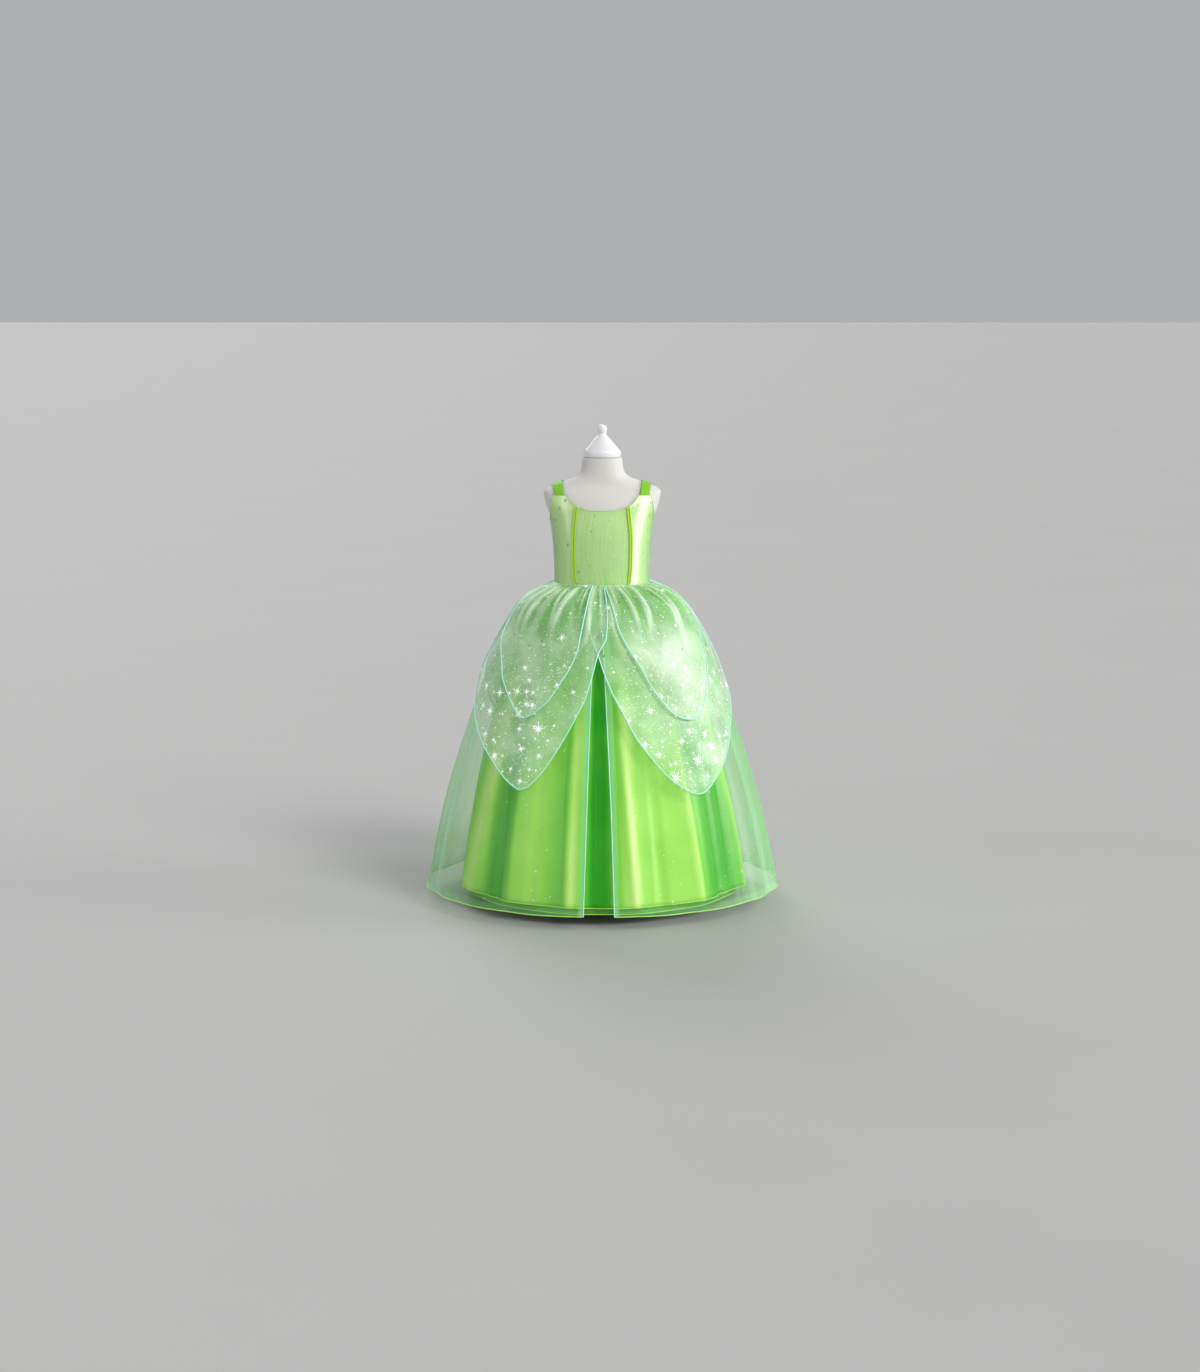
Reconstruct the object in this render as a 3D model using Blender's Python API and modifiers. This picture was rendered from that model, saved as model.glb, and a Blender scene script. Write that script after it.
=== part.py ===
"""Child's princess costume dress with petals, standing on a limbless dress form.

Metres, +Z up. The front faces -Y and the viewer's left is -X. The origin is on the
floor, under the pole of the form. Angles go round the body from the centre front,
positive towards +X, and a drop is a distance below the waist seam.
"""

import math
from collections import namedtuple

import bmesh
import bpy
from mathutils import Matrix, Vector

COLLECTION_NAME = "princess_costume_dress"
CUTTER_COLLECTION_NAME = "cutters"

# Driving sizes of the dress
WAIST_HEIGHT = 0.660
OVERSKIRT_HEM_HEIGHT = 0.030
SATIN_HEM_HEIGHT = 0.040
UNDERSKIRT_HEM_HEIGHT = 0.026
SEAM_GAP = 0.0003
CLOTH_WALL = 0.0012
BODICE_WALL = 0.0015
BODICE_EASE = 0.0030
TOP_EDGE_EASE = 0.0016
TOP_EASE_START = 0.795
TOP_EASE_END = 0.835
COLUMNS_ROUND = 80
GATHER_COUNT = 40
GATHER_HEIGHT = 0.0022

# Driving sizes of the form and its stand
FORM_BOTTOM_HEIGHT = 0.500
NECK_TOP_HEIGHT = 0.917
POLE_RADIUS = 0.0125
BASE_RADIUS = 0.150
BASE_THICKNESS = 0.012
BASE_BEVEL = 0.003
TOUCH_GAP = 0.0003

# Profile of the neck cap, from the top of its knob down and back to the axis
CapRow = namedtuple("CapRow", "radius rise")
CAP_PROFILE = (
    CapRow(0.0000, 0.0670),
    CapRow(0.0050, 0.0658),
    CapRow(0.0088, 0.0620),
    CapRow(0.0100, 0.0570),
    CapRow(0.0088, 0.0520),
    CapRow(0.0078, 0.0480),
    CapRow(0.0112, 0.0430),
    CapRow(0.0160, 0.0385),
    CapRow(0.0215, 0.0320),
    CapRow(0.0290, 0.0230),
    CapRow(0.0355, 0.0160),
    CapRow(0.0382, 0.0115),
    CapRow(0.0388, 0.0070),
    CapRow(0.0380, 0.0025),
    CapRow(0.0360, 0.0000),
    CapRow(0.0000, 0.0000),
)

BodySection = namedtuple("BodySection", "height half_width front_depth back_depth")
BODY_SECTIONS = (
    BodySection(0.500, 0.094, 0.064, 0.074),
    BodySection(0.512, 0.103, 0.072, 0.084),
    BodySection(0.550, 0.107, 0.077, 0.090),
    BodySection(0.610, 0.101, 0.076, 0.083),
    BodySection(0.660, 0.0955, 0.078, 0.077),
    BodySection(0.720, 0.0970, 0.082, 0.077),
    BodySection(0.765, 0.1010, 0.084, 0.080),
    BodySection(0.791, 0.1047, 0.082, 0.080),
    BodySection(0.815, 0.1130, 0.077, 0.077),
    BodySection(0.831, 0.1175, 0.070, 0.071),
    BodySection(0.847, 0.1200, 0.057, 0.060),
    BodySection(0.858, 0.1080, 0.046, 0.050),
    BodySection(0.867, 0.0830, 0.042, 0.045),
    BodySection(0.879, 0.0540, 0.041, 0.043),
    BodySection(0.890, 0.0445, 0.041, 0.042),
    BodySection(0.917, 0.0400, 0.040, 0.040),
)
BODY_SQUARENESS = 2.25
BODY_SIDES = 32
WIDEST_RING_STEP = 0.030
SKIRT_SQUARENESS = 2.0
SQUARENESS_FADE = 0.10

# Share of the way from the waist ring to the hem ring, by drop below the waist
FlareRow = namedtuple("FlareRow", "drop share")
SKIRT_FLARE = (
    FlareRow(0.000, 0.000),
    FlareRow(0.015, 0.120),
    FlareRow(0.032, 0.210),
    FlareRow(0.065, 0.308),
    FlareRow(0.100, 0.390),
    FlareRow(0.166, 0.515),
    FlareRow(0.234, 0.607),
    FlareRow(0.319, 0.715),
    FlareRow(0.420, 0.830),
    FlareRow(0.522, 0.920),
    FlareRow(0.630, 1.000),
)

WAIST_HALF_WIDTH = 0.0990
WAIST_FRONT_DEPTH = 0.0815
WAIST_BACK_DEPTH = 0.0805

# A skirt's hem ring, its cloth's place in the stack at the waist and its gathers
Layer = namedtuple("Layer", "half_width front_depth back_depth hem_height lift gathers folds")
Fold = namedtuple("Fold", "angle half_angle height")

SATIN_FOLDS = (
    Fold(-65.0, 15.0, 0.013),
    Fold(-36.0, 15.0, 0.013),
    Fold(-12.5, 10.0, 0.009),
    Fold(9.0, 12.0, 0.010),
    Fold(42.5, 18.0, 0.014),
    Fold(74.0, 15.0, 0.013),
    Fold(105.0, 14.0, 0.012),
    Fold(132.0, 15.0, 0.014),
    Fold(160.0, 14.0, 0.012),
    Fold(-163.0, 13.0, 0.011),
    Fold(-138.0, 15.0, 0.013),
    Fold(-108.0, 15.0, 0.012),
)
OVERSKIRT_FOLDS = (
    Fold(-79.0, 10.0, 0.008),
    Fold(-61.0, 10.0, 0.007),
    Fold(-44.0, 12.0, 0.006),
    Fold(-22.0, 11.0, 0.006),
    Fold(20.0, 11.0, 0.006),
    Fold(41.0, 12.0, 0.006),
    Fold(62.0, 10.0, 0.007),
    Fold(80.0, 9.0, 0.008),
    Fold(101.0, 10.0, 0.009),
    Fold(122.0, 12.0, 0.008),
    Fold(144.0, 11.0, 0.008),
    Fold(167.0, 12.0, 0.006),
    Fold(-170.0, 11.0, 0.007),
    Fold(-149.0, 11.0, 0.008),
    Fold(-127.0, 12.0, 0.008),
    Fold(-103.0, 12.0, 0.009),
)
UNDERSKIRT_FOLDS = tuple(Fold(turn, 15.0, 0.004) for turn in range(-165, 166, 30))

UNDERSKIRT = Layer(0.287, 0.290, 0.292, UNDERSKIRT_HEM_HEIGHT, -0.0034, 0.0, UNDERSKIRT_FOLDS)
SATIN = Layer(0.296, 0.297, 0.303, SATIN_HEM_HEIGHT, -0.0017, 0.6, SATIN_FOLDS)
OVERSKIRT = Layer(0.361, 0.327, 0.3235, OVERSKIRT_HEM_HEIGHT, 0.0, 0.8, OVERSKIRT_FOLDS)

FOLD_START_DROP = 0.10
FOLD_FULL_DROP = 0.60
SKIRT_ROWS = (0.0, 0.015, 0.040, 0.080, 0.160, 0.270, 0.390, 0.510)
SATIN_ROWS = (0.0, 0.015, 0.040, 0.100, 0.210, 0.350, 0.490)
UNDERSKIRT_ROWS = (0.0, 0.015, 0.060, 0.180, 0.380)

# The two edges of the overskirt's centre front opening, by drop
OpeningRow = namedtuple("OpeningRow", "drop left_angle right_angle")
FRONT_OPENING = (
    OpeningRow(0.000, -2.4, -1.6),
    OpeningRow(0.168, -5.2, 1.2),
    OpeningRow(0.440, -5.6, 3.2),
    OpeningRow(0.630, -6.0, 3.8),
)

# The first of the common columns beside the opening
OPENING_COLUMN = 18.0

# Outlines of the petals: the two edges' angles at each drop, down to the tip
PetalRow = namedtuple("PetalRow", "drop inner outer")
LARGE_LEFT = (
    PetalRow(0.000, -1.0, 97.0),
    PetalRow(0.030, -2.3, 97.0),
    PetalRow(0.062, -2.8, 96.0),
    PetalRow(0.095, -2.2, 95.0),
    PetalRow(0.128, 2.2, 93.0),
    PetalRow(0.168, 4.7, 90.0),
    PetalRow(0.210, 7.5, 84.0),
    PetalRow(0.245, 11.0, 75.5),
    PetalRow(0.280, 14.6, 65.5),
    PetalRow(0.315, 18.5, 55.5),
    PetalRow(0.345, 21.9, 46.5),
    PetalRow(0.370, 25.4, 39.5),
    PetalRow(0.385, 28.2, 34.6),
    PetalRow(0.391, 30.6, 32.0),
)
LARGE_RIGHT = (
    PetalRow(0.000, -8.5, 97.0),
    PetalRow(0.040, -8.3, 96.5),
    PetalRow(0.079, -7.4, 94.0),
    PetalRow(0.102, -5.3, 92.0),
    PetalRow(0.126, -2.4, 90.0),
    PetalRow(0.160, 0.7, 87.0),
    PetalRow(0.200, 4.5, 82.5),
    PetalRow(0.243, 9.2, 75.5),
    PetalRow(0.288, 13.9, 66.5),
    PetalRow(0.326, 19.2, 58.8),
    PetalRow(0.357, 24.0, 52.2),
    PetalRow(0.382, 29.3, 46.0),
    PetalRow(0.397, 34.0, 41.6),
    PetalRow(0.402, 36.8, 39.2),
)
SMALL_LEFT = (
    PetalRow(0.000, 8.5, 72.0),
    PetalRow(0.034, 8.9, 73.5),
    PetalRow(0.068, 10.6, 72.5),
    PetalRow(0.095, 11.8, 70.0),
    PetalRow(0.120, 12.4, 65.5),
    PetalRow(0.150, 15.1, 58.6),
    PetalRow(0.185, 19.4, 51.6),
    PetalRow(0.215, 23.6, 45.2),
    PetalRow(0.237, 27.9, 40.2),
    PetalRow(0.250, 31.6, 36.8),
    PetalRow(0.254, 33.4, 35.2),
)
SMALL_RIGHT = (
    PetalRow(0.000, 1.9, 70.0),
    PetalRow(0.026, 4.6, 72.5),
    PetalRow(0.052, 6.8, 73.0),
    PetalRow(0.079, 9.0, 71.5),
    PetalRow(0.117, 13.4, 66.0),
    PetalRow(0.157, 18.5, 59.4),
    PetalRow(0.190, 22.3, 54.6),
    PetalRow(0.219, 26.3, 50.8),
    PetalRow(0.242, 30.6, 47.0),
    PetalRow(0.255, 35.4, 44.0),
    PetalRow(0.259, 38.6, 41.4),
)
PETAL_TOP_ROWS = (0.0, 0.015, 0.040, 0.080)
LARGE_COLUMNS = 12
SMALL_COLUMNS = 9
PETAL_RIDGE = 0.0018
PETAL_STEP = 0.0020
LARGE_LIFT = 0.0080
SMALL_LIFT = 0.0150
CROSSING_LIFT = 0.0055
PETAL_LIFT_DROP = 0.060
CROSSING_START = 16.0
CROSSING_END = 8.0
BACK_CENTRE_ANGLE = 1.3
BACK_SHARE = 0.85

# Bodice: heights of the top edge, and where its seams and braids lie
TopEdgeRow = namedtuple("TopEdgeRow", "angle height")
STRAP_TOP_HEIGHT = 0.8410
BACK_TOP_HEIGHT = 0.7880
TOP_EDGE = (
    TopEdgeRow(0.0, 0.8125),
    TopEdgeRow(10.0, 0.8130),
    TopEdgeRow(20.0, 0.8170),
    TopEdgeRow(29.0, 0.8270),
    TopEdgeRow(36.0, STRAP_TOP_HEIGHT),
    TopEdgeRow(51.0, STRAP_TOP_HEIGHT),
    TopEdgeRow(58.0, 0.8240),
    TopEdgeRow(70.0, 0.8040),
    TopEdgeRow(90.0, 0.7900),
    TopEdgeRow(115.0, BACK_TOP_HEIGHT),
    TopEdgeRow(180.0, BACK_TOP_HEIGHT),
)
SeamRow = namedtuple("SeamRow", "height distance")
PRINCESS_SEAM = (
    SeamRow(0.660, 0.0540),
    SeamRow(0.700, 0.0575),
    SeamRow(0.750, 0.0585),
    SeamRow(0.800, 0.0550),
    SeamRow(0.840, 0.0500),
)
BODICE_LEVELS = (1.0, 0.94, 0.87, 0.77, 0.60, 0.40, 0.20, 0.0)
BRAID_HALF_WIDTH = 0.0038
BRAID_HALF_THICKNESS = 0.0012
BRAID_BUMP = 0.0008
BRAID_BUMPS = 18
BRAID_SIDES = 6
BRAID_GAP = 0.0006
BRAID_BOTTOM_HEIGHT = 0.6670
BRAID_TOP_HEIGHT = 0.8190

# Straps over the shoulders
STRAP_HALF_WIDTH = 0.0085
STRAP_FRONT_DISTANCE = 0.0865
STRAP_CREST_DISTANCE = 0.0900
STRAP_BACK_DISTANCE = 0.0760
STRAP_LIFT = 0.0008
STRAP_CENTRE_HEIGHT = 0.800
STRAP_STEPS = 16
STRAP_END_GAP = 0.0010

# Zip at the centre back
ZIP_HALF_WIDTH = 0.0030
ZIP_SIDE_GAP = 0.0004
ZIP_WALL = 0.0018
SLIDER_DROP = 0.012
SLIDER_BEVEL = 0.0006
SLIDER_WIDTH = 0.0080
SLIDER_LENGTH = 0.0100
SLIDER_THICKNESS = 0.0022
LUG_THICKNESS = 0.0012
LUG_HEIGHT = 0.0042
LUG_LENGTH = 0.0034
LUG_SINK = 0.0008
PIN_OFFSET = 0.0028
PIN_RADIUS = 0.0007
PULL_WIDTH = 0.0050
PULL_LENGTH = 0.0240
PULL_THICKNESS = 0.0014
PULL_EYE_RADIUS = 0.0012
PULL_EYE_WALL = 0.0010
PULL_SIDE_GAP = 0.0004

Finish = namedtuple("Finish", "name colour roughness metallic")
BODICE_SATIN = Finish("bodice_satin", (0.44, 0.68, 0.25), 0.35, 0.0)
SKIRT_SATIN = Finish("skirt_satin", (0.20, 0.60, 0.03), 0.32, 0.0)
LINING_CLOTH = Finish("lining_cloth", (0.16, 0.42, 0.05), 0.6, 0.0)
ORGANZA = Finish("organza", (0.30, 0.62, 0.26), 0.4, 0.0)
GLITTER_ORGANZA = Finish("glitter_organza", (0.52, 0.72, 0.42), 0.35, 0.0)
RIBBON = Finish("ribbon_satin", (0.22, 0.54, 0.04), 0.35, 0.0)
BRAID_THREAD = Finish("braid_thread", (0.28, 0.52, 0.04), 0.4, 0.2)
FORM_COVER = Finish("form_cover", (0.66, 0.64, 0.60), 0.75, 0.0)
WHITE_LACQUER = Finish("white_lacquer", (0.80, 0.80, 0.82), 0.3, 0.0)
ZIP_PLASTIC = Finish("zip_plastic", (0.20, 0.50, 0.04), 0.4, 0.0)
ZIP_METAL = Finish("zip_metal", (0.55, 0.57, 0.58), 0.3, 1.0)


def clear_scene():
    """Remove whatever the file holds."""
    for item in list(bpy.data.objects):
        bpy.data.objects.remove(item, do_unlink=True)


def make_collection(name):
    """Return a new collection that is linked to the scene."""
    collection = bpy.data.collections.new(name)
    bpy.context.scene.collection.children.link(collection)
    return collection


def make_material(finish):
    """Return the Principled material of a finish, made once."""
    found = bpy.data.materials.get(finish.name)
    if found:
        return found
    material = bpy.data.materials.new(finish.name)
    material.use_nodes = True
    shader = material.node_tree.nodes["Principled BSDF"]
    shader.inputs["Base Color"].default_value = (*finish.colour, 1.0)
    shader.inputs["Roughness"].default_value = finish.roughness
    shader.inputs["Metallic"].default_value = finish.metallic
    return material


def blend(start, end, share):
    """Return the value a share of the way from start to end."""
    return start + (end - start) * share


def smooth_share(value, start, end):
    """Return 0 before start, 1 after end and a smooth rise between them."""
    share = min(1.0, max(0.0, (value - start) / (end - start)))
    return share * share * (3.0 - 2.0 * share)


def slopes_of(places, values):
    """Return the slope at each row of a table, limited so that no curve overshoots."""
    chords = []
    for index in range(len(places) - 1):
        run = places[index + 1] - places[index]
        chords.append((values[index + 1] - values[index]) / run)
    slopes = [chords[0]]
    for before, after in zip(chords, chords[1:]):
        if before * after <= 0.0:
            slopes.append(0.0)
        else:
            slopes.append(2.0 * before * after / (before + after))
    slopes.append(chords[-1])
    return slopes


def read_table(rows, column, place):
    """Return a column's value at a place in a table, on a smooth curve through the rows."""
    places = [row[0] for row in rows]
    values = [getattr(row, column) for row in rows]
    if place <= places[0]:
        return values[0]
    if place >= places[-1]:
        return values[-1]
    slopes = slopes_of(places, values)
    index = max(i for i in range(len(places) - 1) if places[i] <= place)
    run = places[index + 1] - places[index]
    share = (place - places[index]) / run
    square = share * share
    cube = square * share
    return (
        (2.0 * cube - 3.0 * square + 1.0) * values[index]
        + (cube - 2.0 * square + share) * run * slopes[index]
        + (3.0 * square - 2.0 * cube) * values[index + 1]
        + (cube - square) * run * slopes[index + 1]
    )


def ring_point(angle, height, half_width, front_depth, back_depth, squareness):
    """Return the point at an angle in degrees on a rounded ring round the body."""
    sine = math.sin(math.radians(angle))
    cosine = math.cos(math.radians(angle))
    power = 2.0 / squareness
    depth = front_depth if cosine >= 0.0 else back_depth
    across = math.copysign(abs(sine) ** power, sine)
    along = math.copysign(abs(cosine) ** power, cosine)
    return Vector((half_width * across, -depth * along, height))


def body_ring(angle, height):
    """Return a point on the form."""
    sizes = [read_table(BODY_SECTIONS, name, height) for name in BodySection._fields[1:]]
    return ring_point(angle, height, *sizes, BODY_SQUARENESS)


def body_point(angle, height, ease=0.0):
    """Return a point that lies an ease outside the form, square to its surface."""
    turn = 0.5
    step = 0.003
    along = body_ring(angle + turn, height) - body_ring(angle - turn, height)
    up = body_ring(angle, height + step) - body_ring(angle, height - step)
    return body_ring(angle, height) + along.cross(up).normalized() * ease


def bodice_point(angle, height):
    """Return a point on the outside of the bodice, which eases off towards its top edge."""
    ease = TOP_EDGE_EASE * smooth_share(height, TOP_EASE_START, TOP_EASE_END)
    return body_point(angle, height, BODICE_EASE + ease)


def skirt_ring(layer, angle, drop):
    """Return a point on a skirt's plain bell, with no gathers or folds."""
    share = read_table(SKIRT_FLARE, "share", drop)
    squareness = blend(BODY_SQUARENESS, SKIRT_SQUARENESS, smooth_share(drop, 0.0, SQUARENESS_FADE))
    return ring_point(
        angle,
        WAIST_HEIGHT - drop,
        blend(WAIST_HALF_WIDTH, layer.half_width, share),
        blend(WAIST_FRONT_DEPTH, layer.front_depth, share),
        blend(WAIST_BACK_DEPTH, layer.back_depth, share),
        squareness,
    )


def skirt_normal(layer, angle, drop):
    """Return the outward direction of a skirt's bell."""
    turn = 0.5
    step = 0.002
    along = skirt_ring(layer, angle + turn, drop) - skirt_ring(layer, angle - turn, drop)
    down = skirt_ring(layer, angle, drop + step) - skirt_ring(layer, angle, max(0.0, drop - step))
    return down.cross(along).normalized()


def fold_rise(folds, angle):
    """Return how far the folds of a layer stand out at an angle."""
    rise = 0.0
    for fold in folds:
        away = abs((angle - fold.angle + 180.0) % 360.0 - 180.0)
        if away < fold.half_angle:
            rise += fold.height * math.cos(math.pi / 2.0 * away / fold.half_angle) ** 2
    return rise


def gather_rise(angle, drop):
    """Return the height of the small uneven gathers that fan out from the waist."""
    wave = 0.5 + 0.5 * math.cos(math.radians(GATHER_COUNT * angle))
    unevenness = 0.75 + 0.25 * math.sin(math.radians(7.0 * angle) + 1.0)
    fade = smooth_share(drop, 0.0, 0.030) * (1.0 - smooth_share(drop, 0.045, 0.130))
    return GATHER_HEIGHT * wave * unevenness * fade


def skirt_point(layer, angle, drop, lift=0.0):
    """Return a point on a layer of the skirt, its folds and gathers included."""
    growth = smooth_share(drop, FOLD_START_DROP, FOLD_FULL_DROP)
    rise = layer.lift + lift
    rise += layer.gathers * gather_rise(angle, drop)
    rise += growth * fold_rise(layer.folds, angle)
    return skirt_ring(layer, angle, drop) + skirt_normal(layer, angle, drop) * rise


def finish_object(name, mesh, finish, collection):
    """Link a mesh as a named object with its finish."""
    mesh.materials.append(make_material(finish))
    thing = bpy.data.objects.new(name, mesh)
    collection.objects.link(thing)
    return thing


def grid_mesh(name, grid):
    """Return an open mesh through a grid of points, given row by row."""
    builder = bmesh.new()
    rows = [[builder.verts.new(point) for point in row] for row in grid]
    for upper, lower in zip(rows, rows[1:]):
        for index in range(len(upper) - 1):
            builder.faces.new((upper[index], lower[index], lower[index + 1], upper[index + 1]))
    mesh = bpy.data.meshes.new(name)
    builder.to_mesh(mesh)
    builder.free()
    return mesh


def cloth_panel(name, grid, wall, finish, collection):
    """Make a cloth wall, thickened inwards from a grid of its outer points."""
    panel = finish_object(name, grid_mesh(name, grid), finish, collection)
    panel.data.shade_smooth()
    thickness = panel.modifiers.new("wall", "SOLIDIFY")
    thickness.thickness = wall
    thickness.offset = -1.0
    thickness.use_even_offset = False
    thickness.use_rim = True
    return panel


def loft(name, rings, finish, collection):
    """Make a closed solid through rings of points, from the bottom up."""
    builder = bmesh.new()
    loops = [[builder.verts.new(point) for point in ring] for ring in rings]
    count = len(loops[0])
    for lower, upper in zip(loops, loops[1:]):
        for index in range(count):
            after = (index + 1) % count
            builder.faces.new((lower[index], lower[after], upper[after], upper[index]))
    builder.faces.new(list(reversed(loops[0])))
    builder.faces.new(loops[-1])
    bmesh.ops.recalc_face_normals(builder, faces=builder.faces)
    mesh = bpy.data.meshes.new(name)
    builder.to_mesh(mesh)
    builder.free()
    solid = finish_object(name, mesh, finish, collection)
    mesh.shade_smooth()
    mesh.set_sharp_from_angle(angle=math.radians(40.0))
    return solid


def cylinder(name, radius, bottom, top, sides, finish, collection):
    """Make an upright cylinder on the Z axis."""
    bpy.ops.mesh.primitive_cylinder_add(
        vertices=sides, radius=radius, depth=top - bottom, location=(0.0, 0.0, (top + bottom) / 2.0)
    )
    solid = bpy.context.object
    solid.name = name
    solid.data.name = name
    for owner in list(solid.users_collection):
        owner.objects.unlink(solid)
    collection.objects.link(solid)
    solid.data.materials.append(make_material(finish))
    solid.data.shade_smooth()
    solid.data.set_sharp_from_angle(angle=math.radians(40.0))
    return solid


def make_form(collection):
    """Make the torso of the form, its neck cap, pole and base."""
    heights = []
    for lower, upper in zip(BODY_SECTIONS, BODY_SECTIONS[1:]):
        heights.append(lower.height)
        if upper.height - lower.height > WIDEST_RING_STEP:
            heights.append((lower.height + upper.height) / 2.0)
    heights.append(NECK_TOP_HEIGHT)
    rings = []
    for height in heights:
        rings.append([body_point(-360.0 * i / BODY_SIDES, height) for i in range(BODY_SIDES)])
    loft("form_torso", rings, FORM_COVER, collection)

    base = cylinder("stand_base", BASE_RADIUS, 0.0, BASE_THICKNESS, 36, WHITE_LACQUER, collection)
    rounding = base.modifiers.new("rounded_rim", "BEVEL")
    rounding.width = BASE_BEVEL
    rounding.segments = 1
    rounding.limit_method = "ANGLE"
    cylinder(
        "stand_pole", POLE_RADIUS, BASE_THICKNESS + TOUCH_GAP, FORM_BOTTOM_HEIGHT - TOUCH_GAP,
        20, WHITE_LACQUER, collection,
    )


def make_neck_cap(collection):
    """Turn the cap of the neck: a lip, a hollow-sided cone and a small knob."""
    bottom = NECK_TOP_HEIGHT + TOUCH_GAP
    builder = bmesh.new()
    points = [builder.verts.new((row.radius, 0.0, bottom + row.rise)) for row in CAP_PROFILE]
    for upper, lower in zip(points, points[1:]):
        builder.edges.new((upper, lower))
    mesh = bpy.data.meshes.new("neck_cap")
    builder.to_mesh(mesh)
    builder.free()
    cap = finish_object("neck_cap", mesh, WHITE_LACQUER, collection)
    turning = cap.modifiers.new("turning", "SCREW")
    turning.steps = 20
    turning.render_steps = 20
    turning.use_merge_vertices = True
    turning.merge_threshold = 0.00005


def angle_at(distance, height):
    """Return the angle from the centre front at which the bodice is a distance across."""
    half_width = read_table(BODY_SECTIONS, "half_width", height) + BODICE_EASE
    return math.degrees(math.asin((distance / half_width) ** (BODY_SQUARENESS / 2.0)))


def princess_angle(height):
    """Return the angle of the seam between the centre and side front at a height."""
    return angle_at(read_table(PRINCESS_SEAM, "distance", height), height)


def zip_edge_angle(height):
    """Return the angle of a back panel's edge beside the zip."""
    return 180.0 - angle_at(ZIP_HALF_WIDTH + ZIP_SIDE_GAP, height)


def seam_turn(radius):
    """Return half a seam gap as an angle in degrees at a radius."""
    return math.degrees(SEAM_GAP / 2.0 / radius)


def bodice_grid(start, end, columns):
    """Return the outer points of a bodice panel between two edge functions of height."""
    grid = []
    for level in BODICE_LEVELS:
        line = []
        for column in range(columns + 1):
            share = column / columns
            guess = blend(start(WAIST_HEIGHT), end(WAIST_HEIGHT), share)
            for _ in range(3):
                top = read_table(TOP_EDGE, "height", abs(guess))
                height = blend(WAIST_HEIGHT, top, level)
                guess = blend(start(height), end(height), share)
            line.append(bodice_point(guess, height))
        grid.append(line)
    return grid


def make_bodice(collection):
    """Make the five panels of the bodice."""
    turn = seam_turn(WAIST_HALF_WIDTH)
    panels = {
        "bodice_centre_front": (
            lambda height: -princess_angle(height) + turn,
            lambda height: princess_angle(height) - turn,
            10,
        ),
        "bodice_side_front_right": (
            lambda height: princess_angle(height) + turn, lambda height: 90.0 - turn, 9,
        ),
        "bodice_side_front_left": (
            lambda height: -90.0 + turn, lambda height: -princess_angle(height) - turn, 9,
        ),
        "bodice_back_right": (lambda height: 90.0 + turn, zip_edge_angle, 9),
        "bodice_back_left": (
            lambda height: -zip_edge_angle(height), lambda height: -90.0 - turn, 9,
        ),
    }
    for name, (start, end, columns) in panels.items():
        cloth_panel(name, bodice_grid(start, end, columns), BODICE_WALL, BODICE_SATIN, collection)


def make_braid(side, name, collection):
    """Lay a bumpy braid on the outer points of a princess seam."""
    steps = BRAID_BUMPS * 2
    rings = []
    for step in range(steps + 1):
        height = blend(BRAID_BOTTOM_HEIGHT, BRAID_TOP_HEIGHT, step / steps)
        angle = side * princess_angle(height)
        spot = bodice_point(angle, height)
        along = (body_point(angle + 2.0, height) - body_point(angle - 2.0, height)).normalized()
        outward = along.cross(Vector((0.0, 0.0, 1.0))).normalized()
        swell = BRAID_BUMP if step % 2 else 0.0
        half_width = BRAID_HALF_WIDTH - BRAID_BUMP / 2.0 + swell
        half_thickness = BRAID_HALF_THICKNESS - BRAID_BUMP / 2.0 + swell / 2.0
        centre = spot + outward * (BRAID_HALF_THICKNESS + BRAID_GAP)
        ring = []
        for index in range(BRAID_SIDES):
            turn = 2.0 * math.pi * (index + 0.5) / BRAID_SIDES
            offset = along * (half_width * math.cos(turn)) + outward * (half_thickness * math.sin(turn))
            ring.append(centre + offset)
        rings.append(ring)
    loft(name, rings, BRAID_THREAD, collection)


def inside_body(point):
    """Say whether a point is inside the form."""
    sizes = [read_table(BODY_SECTIONS, name, point.z) for name in BodySection._fields[1:]]
    depth = sizes[1] if point.y < 0.0 else sizes[2]
    across = (abs(point.x) / sizes[0]) ** BODY_SQUARENESS
    return across + (abs(point.y) / depth) ** BODY_SQUARENESS < 1.0


def strap_reach(centre, direction):
    """Return how far the form reaches from a centre in a direction."""
    near = 0.0
    far = 0.120
    for _ in range(24):
        middle = (near + far) / 2.0
        if inside_body(centre + direction * middle):
            near = middle
        else:
            far = middle
    return near


def strap_angle_at(distance, height, facing):
    """Return the tilt from upright at which a strap's path leaves a bodice edge."""
    section = [read_table(BODY_SECTIONS, name, height) for name in BodySection._fields[1:]]
    depth = section[1] if facing < 0.0 else section[2]
    room = max(0.0, 1.0 - (distance / section[0]) ** BODY_SQUARENESS)
    reach = depth * room ** (1.0 / BODY_SQUARENESS)
    return facing * math.atan2(reach, height - STRAP_CENTRE_HEIGHT)


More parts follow.
